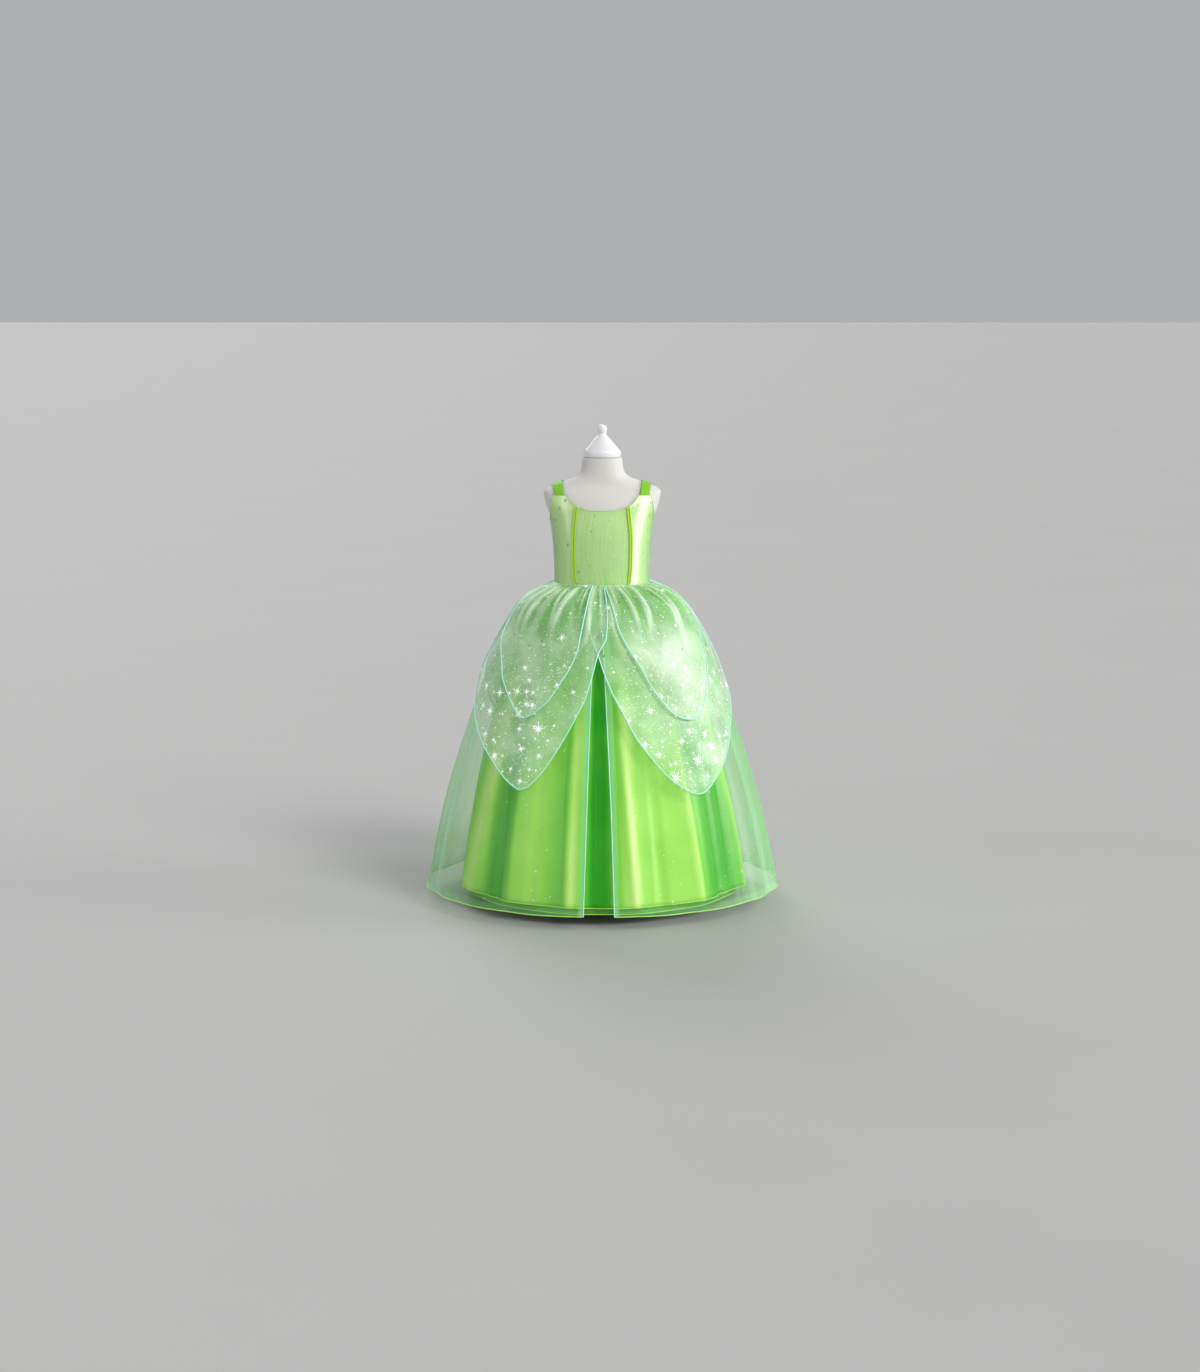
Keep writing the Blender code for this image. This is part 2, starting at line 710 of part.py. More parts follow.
def make_strap(side, name, collection):
    """Lay a ribbon strap over a shoulder, from the front edge to the back edge."""
    front_height = STRAP_TOP_HEIGHT + STRAP_END_GAP
    back_height = BACK_TOP_HEIGHT + STRAP_END_GAP
    grid = []
    for across in (1.0, 0.0, -1.0):
        shift = side * across * STRAP_HALF_WIDTH
        start = strap_angle_at(STRAP_FRONT_DISTANCE + shift, front_height, -1.0)
        end = strap_angle_at(STRAP_BACK_DISTANCE + shift, back_height, 1.0)
        line = []
        for step in range(STRAP_STEPS + 1):
            share = step / STRAP_STEPS
            tilt = blend(start, end, share)
            if tilt < 0.0:
                distance = blend(STRAP_CREST_DISTANCE, STRAP_FRONT_DISTANCE, tilt / start)
            else:
                distance = blend(STRAP_CREST_DISTANCE, STRAP_BACK_DISTANCE, tilt / end)
            centre = Vector((side * distance + across * STRAP_HALF_WIDTH, 0.0, STRAP_CENTRE_HEIGHT))
            direction = Vector((0.0, math.sin(tilt), math.cos(tilt)))
            edge_share = abs(share - 0.5) * 2.0
            edge_ease = BODICE_EASE + (TOP_EDGE_EASE if tilt < 0.0 else 0.0)
            lift = blend(STRAP_LIFT + BODICE_WALL, edge_ease, edge_share ** 3)
            line.append(centre + direction * (strap_reach(centre, direction) + lift))
        grid.append(line)
    cloth_panel(name, grid, BODICE_WALL, RIBBON, collection)


def skirt_columns(start, end):
    """Return the shared angles from start to end, both of them on the common columns."""
    step = 360.0 / COLUMNS_ROUND
    return [start + step * index for index in range(round((end - start) / step) + 1)]


def skirt_panel(name, layer, rows, edges, wall, finish, collection):
    """Make a panel of a skirt, whose columns are given as functions of the drop."""
    last = WAIST_HEIGHT - layer.hem_height
    grid = []
    for drop in (*rows, last):
        radius = blend(WAIST_HALF_WIDTH, layer.half_width, drop / last)
        angles = edges(drop, seam_turn(radius))
        grid.append([skirt_point(layer, angle, drop) for angle in angles])
    cloth_panel(name, grid, wall, finish, collection)


def closed_edges(start, end, step_share=1):
    """Return the column function of a panel that is sewn at both edges."""
    angles = skirt_columns(start, end)[::step_share]

    def columns(drop, turn):
        return [angles[0] + turn, *angles[1:-1], angles[-1] - turn]

    return columns


def opening_columns(side):
    """Return the column function of an overskirt front, open at the centre front."""
    name = "left_angle" if side < 0.0 else "right_angle"

    def columns(drop, turn):
        edge = read_table(FRONT_OPENING, name, drop)
        fixed = skirt_columns(OPENING_COLUMN, 90.0)
        fixed[-1] -= turn
        near = [blend(side * edge, OPENING_COLUMN, share) for share in (0.0, 0.2, 0.5, 0.75)]
        outward = [side * angle for angle in near + fixed]
        return outward if side > 0.0 else outward[::-1]

    return columns


def make_skirts(collection):
    """Make the underskirt, the satin skirt and the overskirt."""
    skirt_panel("underskirt_front", UNDERSKIRT, UNDERSKIRT_ROWS, closed_edges(-90.0, 90.0, 2),
                CLOTH_WALL, LINING_CLOTH, collection)
    skirt_panel("underskirt_back", UNDERSKIRT, UNDERSKIRT_ROWS, closed_edges(90.0, 270.0, 2),
                CLOTH_WALL, LINING_CLOTH, collection)
    skirt_panel("satin_skirt_front", SATIN, SATIN_ROWS, closed_edges(-90.0, 90.0),
                CLOTH_WALL, SKIRT_SATIN, collection)
    skirt_panel("satin_skirt_back_right", SATIN, SATIN_ROWS, closed_edges(90.0, 180.0),
                CLOTH_WALL, SKIRT_SATIN, collection)
    skirt_panel("satin_skirt_back_left", SATIN, SATIN_ROWS, closed_edges(180.0, 270.0),
                CLOTH_WALL, SKIRT_SATIN, collection)
    skirt_panel("overskirt_front_left", OVERSKIRT, SKIRT_ROWS, opening_columns(-1.0),
                CLOTH_WALL, ORGANZA, collection)
    skirt_panel("overskirt_front_right", OVERSKIRT, SKIRT_ROWS, opening_columns(1.0),
                CLOTH_WALL, ORGANZA, collection)
    skirt_panel("overskirt_back", OVERSKIRT, SKIRT_ROWS, closed_edges(90.0, 270.0),
                CLOTH_WALL, ORGANZA, collection)


def petal_lift(tier, angle, drop, over_neighbour):
    """Return how far a petal's outer face stands off the overskirt."""
    full = SMALL_LIFT if tier == 2 else LARGE_LIFT
    lift = blend(tier * PETAL_STEP, full, smooth_share(drop, 0.0, PETAL_LIFT_DROP))
    if over_neighbour:
        step = blend(PETAL_STEP, CROSSING_LIFT, smooth_share(drop, 0.0, PETAL_LIFT_DROP))
        lift += step * (1.0 - smooth_share(abs(angle), CROSSING_END, CROSSING_START))
    return lift


def petal(name, rows, side, tier, is_back, collection):
    """Make a petal that lies over the overskirt, gathered at the waist."""
    columns = LARGE_COLUMNS if tier == 1 else SMALL_COLUMNS
    over_neighbour = side < 0.0 and not is_back
    lower_rows = [row.drop for row in rows if row.drop > PETAL_TOP_ROWS[-1] + 0.010]
    grid = []
    for drop in (*PETAL_TOP_ROWS, *lower_rows):
        inner = read_table(rows, "inner", drop)
        outer = read_table(rows, "outer", drop)
        fade = smooth_share(drop, 0.0, 0.034) * (1.0 - smooth_share(drop, 0.060, 0.160))
        line = []
        for column in range(columns + 1):
            across = blend(inner, outer, column / columns)
            if is_back:
                edge = max(BACK_CENTRE_ANGLE, inner * BACK_SHARE)
                across = 180.0 - blend(edge, outer * BACK_SHARE, column / columns)
            angle = side * across
            rise = petal_lift(tier, angle, drop, over_neighbour)
            if column % 2:
                rise += PETAL_RIDGE * fade
            spot = skirt_ring(OVERSKIRT, angle, drop)
            line.append(spot + skirt_normal(OVERSKIRT, angle, drop) * rise)
        grid.append(line if (side > 0.0) != is_back else line[::-1])
    cloth_panel(name, grid, CLOTH_WALL, GLITTER_ORGANZA, collection)


def make_petals(collection):
    """Make the two tiers of petals, in front and behind."""
    petal("petal_large_front_left", LARGE_LEFT, -1.0, 1, False, collection)
    petal("petal_large_front_right", LARGE_RIGHT, 1.0, 1, False, collection)
    petal("petal_small_front_left", SMALL_LEFT, -1.0, 2, False, collection)
    petal("petal_small_front_right", SMALL_RIGHT, 1.0, 2, False, collection)
    petal("petal_large_back_left", LARGE_LEFT, -1.0, 1, True, collection)
    petal("petal_large_back_right", LARGE_RIGHT, 1.0, 1, True, collection)
    petal("petal_small_back_left", SMALL_LEFT, -1.0, 2, True, collection)
    petal("petal_small_back_right", SMALL_RIGHT, 1.0, 2, True, collection)


def zip_frame():
    """Return the middle of the slider's seat and its outward and upward directions."""
    height = BACK_TOP_HEIGHT - SLIDER_DROP
    seat = bodice_point(180.0, height)
    above = bodice_point(180.0, height + SLIDER_LENGTH / 2.0)
    upward = (above - seat).normalized()
    outward = upward.cross(Vector((1.0, 0.0, 0.0))).normalized()
    return seat, outward, upward


def box_at(builder, centre, outward, upward, size):
    """Add a box whose sides follow the zip's own directions."""
    sideways = upward.cross(outward)
    turn = Matrix((sideways, outward, upward)).transposed().to_4x4()
    scale = Matrix.Diagonal((*size, 1.0))
    bmesh.ops.create_cube(builder, size=1.0, matrix=Matrix.Translation(centre) @ turn @ scale)


def part_from_builder(name, builder, finish, collection):
    """Turn a bmesh into a named object."""
    mesh = bpy.data.meshes.new(name)
    builder.to_mesh(mesh)
    builder.free()
    return finish_object(name, mesh, finish, collection)


def join_by_union(target, tool, collection):
    """Join a tool into a target with a Boolean union and hide the tool."""
    for owner in list(tool.users_collection):
        owner.objects.unlink(tool)
    collection.objects.link(tool)
    tool.hide_render = True
    tool.display_type = "WIRE"
    union = target.modifiers.new("join", "BOOLEAN")
    union.operation = "UNION"
    union.object = tool


def make_zip(collection, cutters):
    """Make the closed row of teeth, the slider and its hinged pull tab."""
    grid = []
    for level in BODICE_LEVELS:
        height = blend(WAIST_HEIGHT, BACK_TOP_HEIGHT, level)
        turn = angle_at(ZIP_HALF_WIDTH, height)
        grid.append([bodice_point(180.0 + turn * side, height) for side in (-1, 0, 1)])
    cloth_panel("zip_chain", grid, ZIP_WALL, ZIP_PLASTIC, collection)

    seat, outward, upward = zip_frame()
    body = bmesh.new()
    middle = seat + outward * (TOUCH_GAP * 2.0 + SLIDER_THICKNESS / 2.0)
    box_at(body, middle, outward, upward, (SLIDER_WIDTH, SLIDER_THICKNESS, SLIDER_LENGTH))
    slider = part_from_builder("zip_slider", body, ZIP_METAL, collection)
    rounding = slider.modifiers.new("rounded", "BEVEL")
    rounding.width = SLIDER_BEVEL
    rounding.segments = 1

    pin_centre = middle + outward * (SLIDER_THICKNESS / 2.0 + PIN_OFFSET)
    lug_centre = PULL_WIDTH / 2.0 + PULL_SIDE_GAP + LUG_THICKNESS / 2.0
    for side in (-1.0, 1.0):
        lug = bmesh.new()
        spot = middle + outward * (SLIDER_THICKNESS / 2.0 + (LUG_HEIGHT - LUG_SINK) / 2.0)
        spot += Vector((side * lug_centre, 0.0, 0.0))
        box_at(lug, spot, outward, upward, (LUG_THICKNESS, LUG_HEIGHT + LUG_SINK, LUG_LENGTH))
        join_by_union(slider, part_from_builder("lug", lug, ZIP_METAL, cutters), cutters)
    pin = bmesh.new()
    across = Matrix.Rotation(math.pi / 2.0, 4, "Y")
    bmesh.ops.create_cone(
        pin, cap_ends=True, segments=12, radius1=PIN_RADIUS, radius2=PIN_RADIUS,
        depth=lug_centre * 2.0, matrix=Matrix.Translation(pin_centre) @ across,
    )
    join_by_union(slider, part_from_builder("pin", pin, ZIP_METAL, cutters), cutters)

    tab = bmesh.new()
    eye_reach = PULL_EYE_RADIUS + PULL_EYE_WALL
    tab_middle = pin_centre + Vector((0.0, 0.0, eye_reach - PULL_LENGTH / 2.0))
    box_at(tab, tab_middle, Vector((0.0, 1.0, 0.0)), Vector((0.0, 0.0, 1.0)),
           (PULL_WIDTH, PULL_THICKNESS, PULL_LENGTH))
    pull = part_from_builder("zip_pull", tab, ZIP_METAL, collection)
    barrel = bmesh.new()
    bmesh.ops.create_cone(
        barrel, cap_ends=True, segments=16, radius1=eye_reach, radius2=eye_reach,
        depth=PULL_WIDTH, matrix=Matrix.Translation(pin_centre) @ across,
    )
    join_by_union(pull, part_from_builder("barrel", barrel, ZIP_METAL, cutters), cutters)
    hole = bmesh.new()
    bmesh.ops.create_cone(
        hole, cap_ends=True, segments=16, radius1=PULL_EYE_RADIUS, radius2=PULL_EYE_RADIUS,
        depth=PULL_WIDTH * 2.0, matrix=Matrix.Translation(pin_centre) @ across,
    )
    cutter = part_from_builder("eye_hole", hole, ZIP_METAL, cutters)
    cutter.hide_render = True
    cutter.display_type = "WIRE"
    cut = pull.modifiers.new("eye", "BOOLEAN")
    cut.operation = "DIFFERENCE"
    cut.object = cutter


def main():
    """Build the dress and its form."""
    clear_scene()
    dress = make_collection(COLLECTION_NAME)
    cutters = make_collection(CUTTER_COLLECTION_NAME)
    make_form(dress)
    make_neck_cap(dress)
    make_bodice(dress)
    for side, word in ((-1.0, "left"), (1.0, "right")):
        make_braid(side, "braid_" + word, dress)
        make_strap(side, "strap_" + word, dress)
    make_skirts(dress)
    make_petals(dress)
    make_zip(dress, cutters)


main()
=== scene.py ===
"""Looks of a child's princess costume dress on a limbless dress form.

Everything is in metres in the frame's own axes: +Z up, -Y towards the front of the
dress, +X towards the viewer's right. Angles go round the body in degrees from the
centre front, positive towards +X. A drop is a distance below the waist seam.
"""

import logging
import math
from dataclasses import dataclass, field
from enum import Enum
from typing import Any, Callable, Sequence

import bpy
import numpy as np
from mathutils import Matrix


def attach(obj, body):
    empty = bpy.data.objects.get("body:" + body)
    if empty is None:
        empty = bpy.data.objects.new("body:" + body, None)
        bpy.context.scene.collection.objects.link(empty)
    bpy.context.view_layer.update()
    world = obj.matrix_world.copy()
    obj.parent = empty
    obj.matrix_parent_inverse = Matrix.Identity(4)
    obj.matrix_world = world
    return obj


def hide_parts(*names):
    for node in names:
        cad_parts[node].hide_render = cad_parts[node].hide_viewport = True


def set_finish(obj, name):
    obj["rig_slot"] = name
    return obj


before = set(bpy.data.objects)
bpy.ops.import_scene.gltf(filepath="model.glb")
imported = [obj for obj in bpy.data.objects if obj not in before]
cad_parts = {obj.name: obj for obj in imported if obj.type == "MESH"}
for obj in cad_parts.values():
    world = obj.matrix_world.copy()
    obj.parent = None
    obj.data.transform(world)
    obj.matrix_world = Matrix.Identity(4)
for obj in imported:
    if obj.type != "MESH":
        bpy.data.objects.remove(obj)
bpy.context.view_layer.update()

LOG = logging.getLogger("princess_dress")
DRESS_BODY = "dress_on_form"
CLOTH_UV = "cloth"
LOOK = "_look"

Colour = tuple[float, float, float]
Points = np.ndarray


class Side(Enum):
    """A side of the dress as the viewer sees it, with the sign of its X."""

    LEFT = -1.0
    RIGHT = 1.0

    @property
    def word(self) -> str:
        """The side's name, as the pieces spell it."""
        return self.name.lower()


# Shader building


class Signal:
    """A number or colour that flows through a shader graph."""

    def __init__(self, graph: "ShaderGraph", socket: bpy.types.NodeSocket) -> None:
        """Keep the graph and the socket that the signal comes out of."""
        self.graph = graph
        self.socket = socket

    def __add__(self, other: "Signal | float") -> "Signal":
        """Return the sum."""
        return self.graph.math("ADD", self, other)

    def __sub__(self, other: "Signal | float") -> "Signal":
        """Return the difference."""
        return self.graph.math("SUBTRACT", self, other)

    def __mul__(self, other: "Signal | float") -> "Signal":
        """Return the product."""
        return self.graph.math("MULTIPLY", self, other)

    __radd__ = __add__
    __rmul__ = __mul__


class ShaderGraph:
    """A material's node tree and its Principled shader."""

    def __init__(self, name: str, constants: dict[str, Any]) -> None:
        """Start a material.

        Args:
            name: the material's name.
            constants: values for the Principled shader's own sockets.
        """
        self.material = bpy.data.materials.new(name + LOOK)
        self.material.use_nodes = True
        self.tree = self.material.node_tree
        self.shader = self.tree.nodes["Principled BSDF"]
        for socket, value in constants.items():
            self.shader.inputs[socket].default_value = value

    def node(
        self, kind: str, settings: dict[str, Any] | None = None, inputs: dict[Any, Any] | None = None
    ) -> bpy.types.Node:
        """Add a node.

        Args:
            kind: the node's type.
            settings: its properties; "stops" gives a colour ramp's places and colours.
            inputs: the values or links of its sockets, by name or number.

        Returns:
            The node.
        """
        made = self.tree.nodes.new(kind)
        for key, value in (settings or {}).items():
            if key == "stops":
                ramp = made.color_ramp
                while len(ramp.elements) < len(value):
                    ramp.elements.new(0.5)
                for element, (place, colour) in zip(ramp.elements, value):
                    element.position = place
                    element.color = (*colour, 1.0)
            else:
                setattr(made, key, value)
        for key, value in (inputs or {}).items():
            self.feed(made.inputs[key], value)
        return made

    def feed(self, socket: bpy.types.NodeSocket, value: Any) -> None:
        """Link a signal to a socket, or set the socket's value.

        Args:
            socket: the socket.
            value: a signal, or the value to set.
        """
        if isinstance(value, Signal):
            self.tree.links.new(value.socket, socket)
        else:
            socket.default_value = value

    def signal(self, node: bpy.types.Node, output: str | int = 0) -> Signal:
        """Return one of a node's outputs as a signal."""
        return Signal(self, node.outputs[output])

    def math(self, operation: str, first: "Signal | float", second: "Signal | float") -> Signal:
        """Return the result of a Math node."""
        made = self.node("ShaderNodeMath", {"operation": operation}, {0: first, 1: second})
        return self.signal(made)

    def uv(self) -> Signal:
        """Return the piece's own cloth coordinates, in metres along the cloth."""
        return self.signal(self.node("ShaderNodeUVMap", {"uv_map": CLOTH_UV}))

    def place(self) -> Signal:
        """Return the object coordinates."""
        return self.signal(self.node("ShaderNodeTexCoord"), "Object")

    def attribute(self, name: str) -> Signal:
        """Return a number stored on the mesh's points."""
        return self.signal(self.node("ShaderNodeAttribute", {"attribute_name": name}), "Fac")

    def scaled(self, vector: Signal, scale: Sequence[float]) -> Signal:
        """Return a vector with each of its parts multiplied.

        Args:
            vector: the vector.
            scale: a factor for each axis.

        Returns:
            The vector.
        """
        made = self.node(
            "ShaderNodeVectorMath", {"operation": "MULTIPLY"}, {0: vector, 1: tuple(scale)}
        )
        return self.signal(made)

    def noise(self, vector: Signal, scale: float, detail: float = 2.0) -> Signal:
        """Return a cloudy pattern from 0 to 1."""
        inputs = {"Vector": vector, "Scale": scale, "Detail": detail}
        return self.signal(self.node("ShaderNodeTexNoise", None, inputs), 0)

    def specks(self, vector: Signal, scale: float, share: float) -> Signal:
        """Return 1 in a random share of small cells and 0 elsewhere.

        Args:
            vector: the places.
            scale: how many cells a unit holds.
            share: the share of cells that are 1.

        Returns:
            The signal.
        """
        cells = self.node("ShaderNodeTexVoronoi", None, {"Vector": vector, "Scale": scale})
        parts = self.node("ShaderNodeSeparateColor", None, {0: self.signal(cells, "Color")})
        return self.math("LESS_THAN", self.signal(parts, 0), share)

    def mix(self, factor: "Signal | float", first: Any, second: Any) -> Signal:
        """Return a colour between two colours.

        Args:
            factor: from 0 for the first colour to 1 for the second.
            first: a colour or its signal.
            second: another.

        Returns:
            The colour.
        """
        made = self.node("ShaderNodeMix", {"data_type": "RGBA"})
        self.feed(made.inputs[0], factor)
        for index, value in ((6, first), (7, second)):
            self.feed(made.inputs[index], value if isinstance(value, Signal) else (*value, 1.0))
        return self.signal(made, 2)

    def bump(self, height: Signal, strength: float, distance: float) -> None:
        """Feed a height to the shader's normal.

        Args:
            height: the height.
            strength: how much of it counts, up to 1.
            distance: how far out a height of 1 lies.
        """
        inputs = {"Height": height, "Strength": strength, "Distance": distance}
        made = self.node("ShaderNodeBump", None, inputs)
        self.feed(self.shader.inputs["Normal"], self.signal(made))


def shade(colour: Colour, factor: float) -> Colour:
    """Return a colour made darker or lighter."""
    return tuple(min(1.0, part * factor) for part in colour)


class Weave(Enum):
    """How a cloth's threads run."""

    PLAIN = "plain"
    SATIN = "satin"
    KNIT = "knit"


class Finish:
    """A finish that is made into a material once."""

    name: str

    def material(self) -> bpy.types.Material:
        """Return the finish's material, made at its first use."""
        return bpy.data.materials.get(self.name + LOOK) or self.make()

    def make(self) -> bpy.types.Material:
        """Return a new material; each kind of finish has its own."""
        raise NotImplementedError


@dataclass(frozen=True)
class ClothFinish(Finish):
    """The finish of a cloth.

    Attributes:
        name: the material's name, without its ending.
        colour, light: the two colours that the cloth clouds between; on a satin with a shadow they are
            also the middle and the lit stops of its painted light.
        roughness: how dull it is.
        bright, shadow: a satin's painted highlight and painted shadow, the colours of its lightest and
            darkest painted bands.
        alpha: how dense the flat cloth is, 1 for one that can't be seen through.
        cover, haze: how much its folds, the highlights painted on them and its clouds change that.
        folded_and_highlit: its colour where it lies in folds and where highlights are painted.
        sheen, specular: the soft light of its fibres and its plain shine.
        anisotropy: how far its threads draw a highlight out.
        weave, thread: how its threads run and how wide they are.
        glitter, streaks: the share of cells that sparkle, and the strength of pale threads.
        cloud_scale: how fine its clouds are.
    """

    name: str
    colour: Colour
    light: Colour
    roughness: float
    bright: Colour = (0.72, 0.95, 0.30)
    alpha: float = 1.0
    cover: float = 0.0
    haze: float = 0.0
    folded_and_highlit: Colour = (0.72, 1.0, 0.80)
    sheen: float = 0.2
    specular: float = 0.5
    anisotropy: float = 0.0
    weave: Weave = Weave.PLAIN
    thread: float = 0.0006
    glitter: float = 0.0
    streaks: float = 0.0
    shadow: Colour | None = None
    cloud_scale: float = 9.0

    SHEEN_ROUGHNESS = 0.35
    CLOUD_ROUGHNESS = 0.08
    CLOUD_TONE = 0.3
    PAINTED_LIGHT_PLACES = (0.0, 0.50, 0.84, 1.0)
    STREAK_SCALE = (520.0, 9.0, 1.0)
    STREAK_COLOUR = (0.95, 1.0, 0.86)
    HAZE_FINENESS = 2.2
    FOLDED_SHARE = 0.70
    # Painted shade: how much it thickens the cloth and the deep green it darkens to.
    PAINTED_SHADE_COVER = 0.45
    PAINTED_SHADE_COLOUR = (0.14, 0.56, 0.05)
    SPARKLE_SCALE = 520.0
    SPARKLE_SHARE = 0.85
    SPARKLE_COLOUR = (0.92, 1.0, 0.92)
    SPARKLE_POLISH = 0.15
    WEAVE_STRENGTH = 0.25
    WEAVE_DEPTH = 0.35

    def make(self) -> bpy.types.Material:
        """Return a new material of the finish.

        Returns:
            The material.
        """
        graph = ShaderGraph(
            self.name,
            {
                "Sheen Weight": self.sheen,
                "Sheen Roughness": self.SHEEN_ROUGHNESS,
                "Anisotropic": self.anisotropy,
                "Specular IOR Level": self.specular,
            },
        )
        cloud = graph.noise(graph.place(), self.cloud_scale, 3.0)
        colour = graph.mix(cloud, self.colour, self.light)
        roughness = self.roughness + self.CLOUD_ROUGHNESS * (cloud - 0.5)
        # Painted light and shade: a weight stored on the points picks the colour, from the painted
        # shadow through the cloth's two colours to the painted highlight.
        if self.shadow:
            tone = graph.attribute("tone") + self.CLOUD_TONE * (cloud - 0.5)
            stops = list(zip(self.PAINTED_LIGHT_PLACES, (self.shadow, self.colour, self.light, self.bright)))
            ramp = graph.node("ShaderNodeValToRGB", {"stops": stops}, {0: tone})
            colour = graph.signal(ramp, "Color")
        if self.streaks > 0.0:
            streak = graph.noise(graph.scaled(graph.uv(), self.STREAK_SCALE), 1.0, 2.0)
            colour = graph.mix(self.streaks * streak, colour, self.STREAK_COLOUR)
        alpha: Signal | float = self.alpha
        if self.alpha < 1.0:
            # The cover weight makes the cloth denser and paler in its folds and where highlights are
            # painted; a second weight paints shade, darker and denser.
            cover = graph.attribute("cover")
            haze = graph.noise(graph.place(), self.HAZE_FINENESS * self.cloud_scale, 4.0)
            pocket = graph.attribute("pocket")
            alpha = self.alpha + self.haze * (cloud + haze - 1.0) + self.cover * cover
            alpha = alpha + self.PAINTED_SHADE_COVER * pocket
            colour = graph.mix(self.FOLDED_SHARE * cover, colour, self.folded_and_highlit)
            colour = graph.mix(pocket, colour, self.PAINTED_SHADE_COLOUR)
        if self.glitter > 0.0:
            sparkle = graph.specks(graph.place(), self.SPARKLE_SCALE, self.glitter)
            colour = graph.mix(self.SPARKLE_SHARE * sparkle, colour, self.SPARKLE_COLOUR)
            roughness = roughness - self.SPARKLE_POLISH * sparkle
            if self.alpha < 1.0:
                alpha = alpha + (1.0 - self.alpha) * sparkle
        graph.feed(graph.shader.inputs["Base Color"], colour)
        graph.feed(graph.shader.inputs["Roughness"], roughness)
        graph.feed(graph.shader.inputs["Alpha"], alpha)
        graph.bump(self.threads(graph), self.WEAVE_STRENGTH, self.thread * self.WEAVE_DEPTH)
        return graph.material

    def threads(self, graph: ShaderGraph) -> Signal:
        """Return the height of the weave, from the cloth coordinates.

        Args:
            graph: the material's graph.

        Returns:
            The height.
        """
        across = {Weave.PLAIN: 1.0, Weave.SATIN: 0.35, Weave.KNIT: 0.7}[self.weave]
        vector = graph.scaled(graph.uv(), (across / self.thread, 1.0 / self.thread, 1.0))
        return graph.noise(vector, 1.0, 1.0)


@dataclass(frozen=True)
class HardFinish(Finish):
    """The finish of a hard piece: lacquer, metal, foil or moulded plastic."""

    name: str
    colour: Colour
    roughness: float
    metallic: float = 0.0
    coat: float = 0.0
    # A white emission: a painted glow, since the piece is no lamp.
    glow: float = 0.0
    grain: float = 60.0

    DARK_SHADE = 0.94
    LIGHT_SHADE = 1.04
    CLOUD_ROUGHNESS = 0.12
    GRAIN_FINENESS = 12.0
    GRAIN_STRENGTH = 0.08
    GRAIN_DEPTH = 0.0004

    def make(self) -> bpy.types.Material:
        """Return a new material of the finish.

        Returns:
            The material.
        """
        constants = {
            "Metallic": self.metallic, "Coat Weight": self.coat, "Emission Strength": self.glow,
            "Emission Color": (1.0, 1.0, 1.0, 1.0),
        }
        graph = ShaderGraph(self.name, constants)
        cloud = graph.noise(graph.place(), self.grain, 3.0)
        dark, light = shade(self.colour, self.DARK_SHADE), shade(self.colour, self.LIGHT_SHADE)
        roughness = self.roughness + self.CLOUD_ROUGHNESS * (cloud - 0.5)
        graph.feed(graph.shader.inputs["Base Color"], graph.mix(cloud, dark, light))
        graph.feed(graph.shader.inputs["Roughness"], roughness)
        grain = graph.noise(graph.place(), self.grain * self.GRAIN_FINENESS, 1.0)
        graph.bump(grain, self.GRAIN_STRENGTH, self.GRAIN_DEPTH)
        return graph.material


@dataclass(frozen=True)
class ThreadFinish(Finish):
    """The finish of twisted thread, as on rolled edges, stitches and braids."""

    name: str
    colour: Colour
    light: Colour
    roughness: float = 0.4
    metallic: float = 0.0

    SHEEN = 0.3
    STRAND_SCALE = 1400.0
    STRAND_ROUGHNESS = 0.2
    STRAND_STRENGTH = 0.4
    STRAND_DEPTH = 0.0003

    def make(self) -> bpy.types.Material:
        """Return a new material of the finish.

        Returns:
            The material.
        """
        graph = ShaderGraph(self.name, {"Metallic": self.metallic, "Sheen Weight": self.SHEEN})
        strands = graph.noise(graph.place(), self.STRAND_SCALE, 2.0)
        roughness = self.roughness + self.STRAND_ROUGHNESS * (strands - 0.5)
        graph.feed(graph.shader.inputs["Base Color"], graph.mix(strands, self.colour, self.light))
        graph.feed(graph.shader.inputs["Roughness"], roughness)
        graph.bump(strands, self.STRAND_STRENGTH, self.STRAND_DEPTH)
        return graph.material


# The satins' shadow and highlight colours are painted shadow and painted highlight.
BODICE_SATIN = ClothFinish(
    "bodice_satin", (0.27, 0.60, 0.080), (0.40, 0.74, 0.16), 0.28,
    sheen=0.0, specular=0.6, anisotropy=0.5, weave=Weave.SATIN, glitter=0.003, streaks=0.48,
    shadow=(0.09, 0.40, 0.02), bright=(0.80, 1.0, 0.62),
)
SKIRT_SATIN = ClothFinish(
    "skirt_satin", (0.22, 0.66, 0.045), (0.52, 0.88, 0.16), 0.30, sheen=0.0, specular=0.4,
    anisotropy=0.5, weave=Weave.SATIN, shadow=(0.012, 0.38, 0.002),
)
LINING = ClothFinish("lining_cloth", (0.10, 0.36, 0.04), (0.13, 0.42, 0.06), 0.6)
ORGANZA = ClothFinish(
    "organza", (0.18, 0.70, 0.09), (0.30, 0.82, 0.20), 0.36, alpha=0.15, cover=0.42, haze=0.06,
    folded_and_highlit=(0.40, 0.90, 0.54), sheen=0.2,
)
PETAL_ORGANZA = ClothFinish(
    "glitter_organza", (0.48, 0.80, 0.42), (0.70, 0.92, 0.64), 0.30,
    alpha=0.34, cover=0.50, haze=0.75, folded_and_highlit=(0.92, 1.0, 0.90), sheen=0.5, glitter=0.010,
    cloud_scale=10.0,
)
RIBBON = ClothFinish(
    "ribbon_satin", (0.17, 0.48, 0.02), (0.24, 0.60, 0.04), 0.5,
    sheen=0.0, specular=0.25, weave=Weave.SATIN,
)
